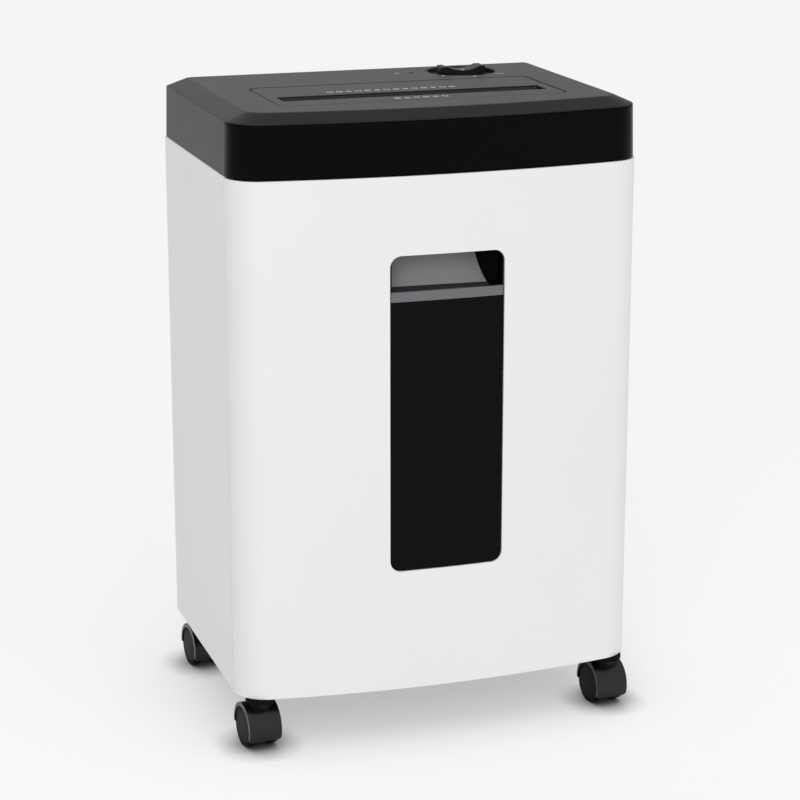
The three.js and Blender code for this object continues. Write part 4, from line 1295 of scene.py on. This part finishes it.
    def funnel_form(self, spread: float, low: float, high: float) -> Shape:
        """Makes the slot's funnel, widened by a spread."""
        rings = []
        for z in (low, high):
            share = (z - (self.height - self.funnel)) / self.funnel
            width = self.throat / 2 + (self.mouth - self.throat) / 2 * share + spread
            half = self.slot_half + spread
            rings.append(polyline([(-half, self.slot_y - width), (half, self.slot_y - width),
                                   (half, self.slot_y + width), (-half, self.slot_y + width)], z))
        return Shape.loft(rings)

    def feed_plate(self) -> None:
        """Builds the plate with the feed slot and its funnel."""
        under = self.height - self.roof
        plate = Shape.prism(self.plate_outline(self.plate_seam), under - 0.8, self.height - 0.1)
        plate.join(Shape.prism(self.plate_outline(-4), under - 2.8, under - 0.3))
        low, rim = self.height - self.funnel, self.height - self.rim
        plate.cut(self.funnel_form(0, low - 2, self.height + 2),
                  self.funnel_form(self.funnel_wall + 0.1, low - 2, rim))
        plate.soften(0.45, 28, 3)
        plate.piece("feed_plate_grey", GREY_ABS, "cabinet", ["feed_plate"])
        funnel = self.funnel_form(self.funnel_wall, low, rim - 0.1)
        funnel.cut(self.funnel_form(0.15, low - 2, self.height + 2))
        funnel.soften(0.3, 28, 2).piece("feed_funnel_black", BLACK_ABS, "cabinet")

    def dish(self) -> None:
        """Builds the dark dish that the dial turns in."""
        span = Span.of("knob_dish")
        r, floor = self.dish_radius, self.height - self.dish_depth
        under = self.height - self.roof - 0.3
        dish = Shape.turned([(3.5, floor - 1.9), (r + 2.2, floor - 1.9), (r + 2.2, under),
                             (r, under), (r, self.height - 0.5), (r - 0.3, self.height - 0.2),
                             (r - 0.9, self.height - 0.2), (r - 1.2, self.height - 0.5),
                             (r - 1.4, floor + 1.2), (r - 2.6, floor), (3.5, floor)], 96)
        dish.move(span.middle.x, span.middle.y)
        dish.piece("dial_dish", BLACK_ABS, "cabinet", ["knob_dish"])

    def knob(self) -> None:
        """Builds the dial: a disc with a ribbed bar that dips in the middle."""
        span = Span.of("mode_knob")
        floor, top, radius = self.height - self.dish_depth, span.high.z, self.knob_radius
        low, deck = floor + 0.5, floor + 3
        disc = Shape.turned([(0, low), (radius - 0.4, low), (radius, low + 0.4),
                             (radius, deck - 0.9), (radius - 0.9, deck), (0, deck)], 96)
        half = radius - 0.7
        side = [(-half, deck - 1), (half, deck - 1), (half - 0.6, top - 0.8), (half - 1.6, top)]
        for step in range(self.dip_steps + 1):
            t = step / self.dip_steps
            x = (half - 6) * (1 - 2 * t)
            side.append((x, top - self.knob_dip * (1 - (1 - 2 * t) ** 2)))
        side += [(-half + 1.6, top), (-half + 0.6, top - 0.8)]
        bar = Shape.prism(polyline(side), -self.knob_half, self.knob_half).stand(Axis.Y)
        bar.common(rod(radius - 0.5, deck - 2, top + 2, 96))
        bar.soften(0.6, 40, 2)
        ribs = Shape()
        groove = rod(self.rib_radius, deck + 0.4, top + 2, 10)
        reach = radius - 0.2
        for end in (-1, 1):
            for step in range(-3, 4):
                angle = math.radians(step * self.rib_degrees) + (math.pi if end < 0 else 0)
                ribs.add(groove.copy().move(reach * math.cos(angle), reach * math.sin(angle)))
            for step in range(4):
                for face in (-1, 1):
                    ribs.add(groove.copy().move(end * (18 - self.rib_pitch * step),
                                                face * (self.knob_half + 0.2)))
        bar.cut(ribs)
        shaft = rod(3, span.low.z, deck - 1, 24)
        knob = disc.join(bar, shaft).move(span.middle.x, span.middle.y)
        knob.piece("dial_knob", GREY_ABS, "knob", ["mode_knob"])
        mark = Shape.prism(rounded_box(-0.6, 0.6, -6.5, -1.5, 0.55, 4), 0, 0.35)
        mark.move(span.middle.x, span.middle.y, top - 3.6)
        mark.piece("dial_index", PRINT_INK, "knob")

    def lamp(self) -> None:
        """Builds the lamp's domed lens."""
        span = Span.of("lamp_lens")
        top, r = self.height, self.lens_radius
        points = [(0, span.low.z), (r - 0.3, span.low.z), (r, span.low.z + 0.4), (r, top - 0.2)]
        for step in range(1, 7):
            angle = math.radians(90 * step / 6)
            points.append((r * math.cos(angle), top - 0.2 + 0.5 * math.sin(angle)))
        points[-1] = (0, top + 0.3)
        lens = Shape.turned(points, 32).move(span.middle.x, span.middle.y)
        lens.piece("lamp_dome", LENS, "cabinet", ["lamp_lens"])

    def stroke(self, x0: float, y0: float, x1: float, y1: float, width: float = 0.7) -> Shape:
        """Makes one printed stroke between two points on the cover's top."""
        run = Vector((x1 - x0, y1 - y0))
        half = width / 2
        pen = rounded_box(-half, run.length + half, -half, half, half * 0.95, 4)
        made = Shape.prism(pen, self.height - self.ink_half, self.height + self.ink_half)
        return made.turn(Matrix.Translation((x0, y0, 0))
                         @ Matrix.Rotation(math.atan2(run.y, run.x), 4, "Z"))

    def loop(self, x: float, y: float, radius: float, width: float = 0.6) -> Shape:
        """Makes one printed ring on the cover's top."""
        low, high = self.height - self.ink_half, self.height + self.ink_half
        return Shape.turned([(radius - width, low), (radius, low), (radius, high),
                             (radius - width, high)], 32).move(x, y)

    def pictogram(self, ink: Shape, index: int, x: float, y: float) -> None:
        """Adds one plain pictogram: a sheet, a sheet with a line, or a barred ring.

        Args:
            ink: shape that takes the mark.
            index: number of the mark in its row.
            x: its middle.
            y: its middle.
        """
        half, tall, line = self.mark_size / 2, self.mark_size * 0.6, self.mark_line
        if index % 3 == 2:
            ink.add(self.loop(x, y, tall, line),
                    self.stroke(x - half * 0.6, y - half * 0.6, x + half * 0.6, y + half * 0.6, line))
            return
        for end in (-1, 1):
            ink.add(self.stroke(x - half, y + end * tall, x + half, y + end * tall, line),
                    self.stroke(x + end * half, y - tall, x + end * half, y + tall, line))
        if index % 3 == 1:
            ink.add(self.stroke(x - half * 0.5, y, x + half * 0.5, y, line))

    def marks(self) -> None:
        """Builds the dial's tick marks and plain pictograms, with no lettering."""
        dial = Span.of("mode_knob").middle
        lamp = Span.of("lamp_lens").middle
        ink = Shape()
        for angle, length in ((-45, 4.5), (0, 4.5), (45, 7.0)):
            a = math.radians(angle - 90)
            near, far = self.tick_radius, self.tick_radius + length
            ink.add(self.stroke(dial.x + near * math.cos(a), dial.y + near * math.sin(a),
                                dial.x + far * math.cos(a), dial.y + far * math.sin(a),
                                self.tick_width))
        x = lamp.x - self.symbol_offset
        ink.add(self.loop(x, lamp.y, 2.2), self.stroke(x, lamp.y, x, lamp.y + 3))
        for index in range(self.rear_marks):
            self.pictogram(ink, index, index * self.mark_pitch + self.rear_start,
                           self.rear_row)
        for index in range(self.front_marks):
            self.pictogram(ink, index + 1, index * self.mark_pitch + self.front_start,
                           self.front_row)
        ink.piece("printed_marks", PRINT_INK, "cabinet")


# ------------------------------------------------------------------ casters


@dataclass
class Caster:
    """One twin-wheel caster with its barrel hood."""

    corner: Corner
    trail: float = 8.0
    wheel: float = 17.0
    hood_radius: float = 20.3       # round a centre that is shifted, so the hood thins rearwards
    hood_ahead: float = 0.9
    hood_above: float = 1.0
    hood_inner: float = 17.4
    rear_edge: float = -5.0         # degrees from the rear horizontal, through the top
    front_edge: float = 208.0
    front_chamfer: float = 1.8
    half_width: float = 14.2
    web_half: float = 4.5
    neck: float = 12.5
    neck_foot: float = 6.5
    neck_low: float = 33.0
    stem_hole: float = 3.3
    axle_hole: float = 2.2
    turn: float = 5.0
    arc_steps: int = 44
    inner: float = 5.0              # X of the wheel's inner and outer faces
    outer: float = 13.9
    hub: float = 11.4               # X of the end of the axle's bore
    rim: float = 2.1                # from the tread to the domed face
    dome_steps: int = 9

    def place(self) -> Matrix:
        """Returns the place and turn of the swivel axis on the floor."""
        stem = Span.of(f"caster_{self.corner.value}_stem").middle
        return Matrix.Translation((stem.x, stem.y, 0)) @ Matrix.Rotation(
            math.radians(self.turn), 4, "Z")

    def build(self) -> None:
        """Builds the hood, the stem and both wheels."""
        self.hood()
        self.stem()
        for side in Side:
            self.wheel_disc(side)

    def hood_section(self, inner: Optional[float]) -> Pen:
        """Draws the hood from the side, as Y and Z about the axle.

        Args:
            inner: radius of its hollow, or nothing for a filled web.

        Returns:
            The pen, ready to close.
        """
        sweep = self.front_edge - self.rear_edge
        y, z = -self.hood_ahead, self.hood_above
        start, end = (math.radians(a) for a in (self.rear_edge, self.front_edge))
        pen = Pen(y + self.hood_radius * math.cos(start), z + self.hood_radius * math.sin(start))
        pen.arc(y, z, sweep, self.arc_steps)
        if inner:
            pen.line(inner * math.cos(end), inner * math.sin(end))
            pen.arc(0, 0, -sweep, self.arc_steps)
        return pen

    def hood(self) -> None:
        """Builds the barrel hood with its web and its neck."""
        name = f"caster_{self.corner.value}_hood"
        half, web = self.half_width, self.web_half
        barrel = Shape.prism(self.hood_section(self.hood_inner), -half, half).stand(Axis.X)
        end = math.radians(self.front_edge)
        low_y = self.hood_radius * math.cos(end) - self.hood_ahead
        low_z = self.hood_radius * math.sin(end) + self.hood_above + self.front_chamfer
        for side in Side:
            barrel.keep((side.value * half, low_y, low_z), (-side.value * 0.62, 0.0, 0.78))
        barrel.soften(0.55, 35, 3)
        barrel.join(Shape.prism(self.hood_section(None), -web, web).stand(Axis.X))
        barrel.move(y=self.trail, z=self.wheel)
        top = Span.of(name).high.z
        barrel.join(Shape.turned([(0, self.neck_low), (self.neck_foot, self.neck_low),
                                  (self.neck, top), (0, top)], 64))
        barrel.cut(rod(self.stem_hole, 20, 50, 24),
                   rod(self.axle_hole, -30, 30, 24).stand(Axis.X).move(y=self.trail, z=self.wheel))
        barrel.turn(self.place())
        barrel.piece(f"{name}_barrel", CASTER_NYLON, f"caster_{self.corner.value}", [name])

    def stem(self) -> None:
        """Builds the swivel stem with the round collar under the cabinet."""
        name = f"caster_{self.corner.value}_stem"
        span = Span.of(name)
        hood_top = Span.of(f"caster_{self.corner.value}_hood").high.z
        under = Span.of("base_tray").low.z - 0.3
        stem = Shape.turned([(0, span.low.z), (3, span.low.z), (3, hood_top + 0.3),
                             (self.neck, hood_top + 0.3), (self.neck, under), (3.5, under),
                             (3.5, span.high.z - 0.8), (2.7, span.high.z), (0, span.high.z)], 64)
        stem.move(span.middle.x, span.middle.y).piece(f"{name}_turned", COLLAR_NYLON, "cabinet",
                                                      [name])

    def wheel_disc(self, side: Side) -> None:
        """Builds one wheel: a rounded tread and a domed face inside a ring groove."""
        name = f"caster_{self.corner.value}_wheel_{side.name.lower()}"
        r, a, b = self.wheel, self.inner, self.outer
        profile = [(0, self.hub), (self.axle_hole, self.hub), (self.axle_hole, a), (r - 1.4, a),
                   (r - 0.4, a + 0.4), (r, a + 1.4), (r, b - 0.9), (r - 0.3, b - 0.4),
                   (r - 0.9, b - 0.2), (r - 1.3, b - 0.4), (r - 1.5, b - 1.0),
                   (r - 1.9, b - 1.0), (r - self.rim, b - 0.5)]
        for step in range(1, self.dome_steps + 1):
            share = step / self.dome_steps
            profile.append(((r - self.rim) * (1 - share),
                            b - 0.5 + 0.5 * math.sin(share * math.pi / 2)))
        wheel = Shape.turned(profile, 64).stand(Axis.X)
        if side is Side.LEFT:
            wheel.turn(Matrix.Scale(-1, 4, (1, 0, 0)))
        wheel.move(y=self.trail, z=self.wheel).turn(self.place())
        body = f"caster_{self.corner.value}_{side.name.lower()}_wheel"
        wheel.piece(f"{name}_disc", WHEEL_NYLON, body, [name])


# ------------------------------------------------------------------ carried-over nodes


@dataclass
class Inside:
    """CAD nodes whose shape stays, each with its own finish and softened edges."""

    edge: float = 0.35
    weld: float = 0.01
    bevel_degrees: float = 50.0

    def finishes(self) -> dict[str, Finish]:
        """Returns the finish of each carried-over node."""
        table = {
            "base_tray": BLACK_ABS, "top_frame": BLACK_ABS, "head_chassis": BLACK_ABS,
            "drawer_rail_left": ZINC_STEEL, "drawer_rail_right": ZINC_STEEL,
            "interlock_switch": BLACK_ABS, "interlock_plunger": NATURAL_NYLON,
            "rotary_switch": BLACK_ABS, "power_inlet": BLACK_ABS, "control_board": BOARD_MASK,
            "feed_guide_front": ZINC_STEEL, "feed_guide_rear": ZINC_STEEL,
            "paper_lever": NATURAL_NYLON, "cutter_front": CUTTER_STEEL,
            "cutter_rear": CUTTER_STEEL, "cutter_gear_front": CUTTER_STEEL,
            "cutter_gear_rear": CUTTER_STEEL, "intermediate_gear": NATURAL_NYLON,
            "motor_housing": ZINC_STEEL, "motor_rotor": CUTTER_STEEL,
            "side_frame_left": ZINC_STEEL, "side_frame_right": ZINC_STEEL,
            "tie_rod_front": ZINC_STEEL, "tie_rod_rear": ZINC_STEEL,
            "stripper_comb_front": BLACK_ABS, "stripper_comb_rear": BLACK_ABS,
            "gear_cover": BLACK_ABS,
        }
        for corner in Corner:
            table[f"caster_{corner.value}_axle"] = ZINC_STEEL
        return table

    def build(self) -> None:
        """Dresses each node."""
        for name, finish in self.finishes().items():
            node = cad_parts[name]
            for place in node.material_slots:
                place.material = finish.material()
            weld = node.modifiers.new("weld", "WELD")
            weld.merge_threshold = self.weld * MM
            bevel = node.modifiers.new("soft_edges", "BEVEL")
            bevel.width = self.edge * MM
            bevel.segments = 2
            bevel.limit_method = "ANGLE"
            bevel.angle_limit = math.radians(self.bevel_degrees)
            log.info("%s: %s", name, finish.name)


# ------------------------------------------------------------------ studio


@dataclass
class Studio:
    """Floor, light and camera."""

    offset: tuple[float, float, float] = (-633.1, -1939.8, 558.8)
    yaw: float = 18.07
    pitch: float = 15.52
    lens: float = 109.75
    floor_size: float = 60.0
    wall_light: float = 1.0
    ceiling_light: float = 0.95
    left_share: float = 0.38
    right_share: float = 0.6
    front_share: float = 1.16
    back_share: float = 0.78
    overhead: float = 0.15
    softbox: float = 12.0
    softbox_size: float = 1.0
    softbox_place: tuple[float, float, float] = (-1.3, -2.5, 1.4)
    overhead_place: tuple[float, float, float] = (-0.1, -0.2, 1.0)
    overhead_degrees: float = 60.0
    aim: tuple[float, float, float] = (0.0, 0.0, 0.25)
    sensor: float = 36.0
    far: float = 200.0

    def build(self) -> None:
        """Sets up the whole studio."""
        low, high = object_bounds()
        self.camera((low + high) / 2)
        self.floor()
        self.world()
        self.lights()

    def camera(self, middle: Vector) -> None:
        """Places the camera about the object's middle."""
        data = bpy.data.cameras.new("camera")
        data.lens = self.lens
        data.sensor_width = self.sensor
        data.clip_end = self.far
        item = bpy.data.objects.new("camera", data)
        item.location = middle + Vector(self.offset) * MM
        item.rotation_euler = (math.radians(90 - self.pitch), 0, math.radians(-self.yaw))
        bpy.context.collection.objects.link(item)
        bpy.context.scene.camera = item

    def floor(self) -> None:
        """Lays the pale glowing sheet, with its painted contact shadow, that everything stands on."""
        mesh = bmesh.new()
        bmesh.ops.create_grid(mesh, x_segments=4, y_segments=4, size=self.floor_size / 2)
        data = bpy.data.meshes.new("floor")
        mesh.to_mesh(data)
        mesh.free()
        data.materials.append(PaintedShadowFloor("floor_sheet_painted_shadow", "C8C8C8", 0.9).material())
        item = bpy.data.objects.new("floor", data)
        bpy.context.collection.objects.link(item)
        item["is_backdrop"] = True

    def world(self) -> None:
        """Wraps the studio in pale walls: brightest in front, dimmer at the sides and behind."""
        world = bpy.data.worlds.new("studio")
        bpy.context.scene.world = world
        world.use_nodes = True
        tree = world.node_tree
        tree.nodes.clear()
        direction = add_node(tree, "ShaderNodeTexCoord").outputs["Generated"]
        parts = add_node(tree, "ShaderNodeSeparateXYZ", {0: direction}).outputs
        glow: Any = 1.0
        for axis, start, end, low, high in (
                ("Z", 0.15, 0.9, self.wall_light, self.ceiling_light),
                ("X", -0.95, -0.2, self.left_share, 1.0),
                ("X", 0.1, 0.9, 1.0, self.right_share),
                ("Y", -0.8, 0.8, self.front_share, self.back_share)):
            share = add_node(tree, "ShaderNodeMapRange",
                             {"Value": parts[axis], "From Min": start, "From Max": end,
                              "To Min": low, "To Max": high}, interpolation_type="SMOOTHSTEP")
            glow = add_node(tree, "ShaderNodeMath", {0: share.outputs["Result"], 1: glow},
                            operation="MULTIPLY").outputs[0]
        light = add_node(tree, "ShaderNodeBackground",
                         {"Color": linear("FFFFFF"), "Strength": glow})
        add_node(tree, "ShaderNodeOutputWorld", {"Surface": light.outputs[0]})

    def lights(self) -> None:
        """Hangs a weak overhead light and a softbox in front, above the camera."""
        sun = bpy.data.lights.new("overhead", "SUN")
        sun.energy = self.overhead
        sun.angle = math.radians(self.overhead_degrees)
        box = bpy.data.lights.new("softbox", "AREA")
        box.energy = self.softbox
        box.size = self.softbox_size
        for data, spot in ((sun, self.overhead_place), (box, self.softbox_place)):
            place = Vector(spot)
            item = bpy.data.objects.new(data.name, data)
            item.location = place
            item.rotation_euler = (place - Vector(self.aim)).to_track_quat("Z", "Y").to_euler()
            bpy.context.collection.objects.link(item)
        scene = bpy.context.scene
        scene.view_settings.view_transform = "Standard"
        scene.view_settings.look = "None"


def main() -> None:
    logging.basicConfig(level=logging.INFO, format="%(name)s %(message)s")
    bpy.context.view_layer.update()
    Cabinet().build()
    Drawer().build()
    Head().build()
    for corner in Corner:
        Caster(corner).build()
    Inside().build()
    Studio().build()
    log.info("sizes written")


if __name__ == "__main__":
    main()
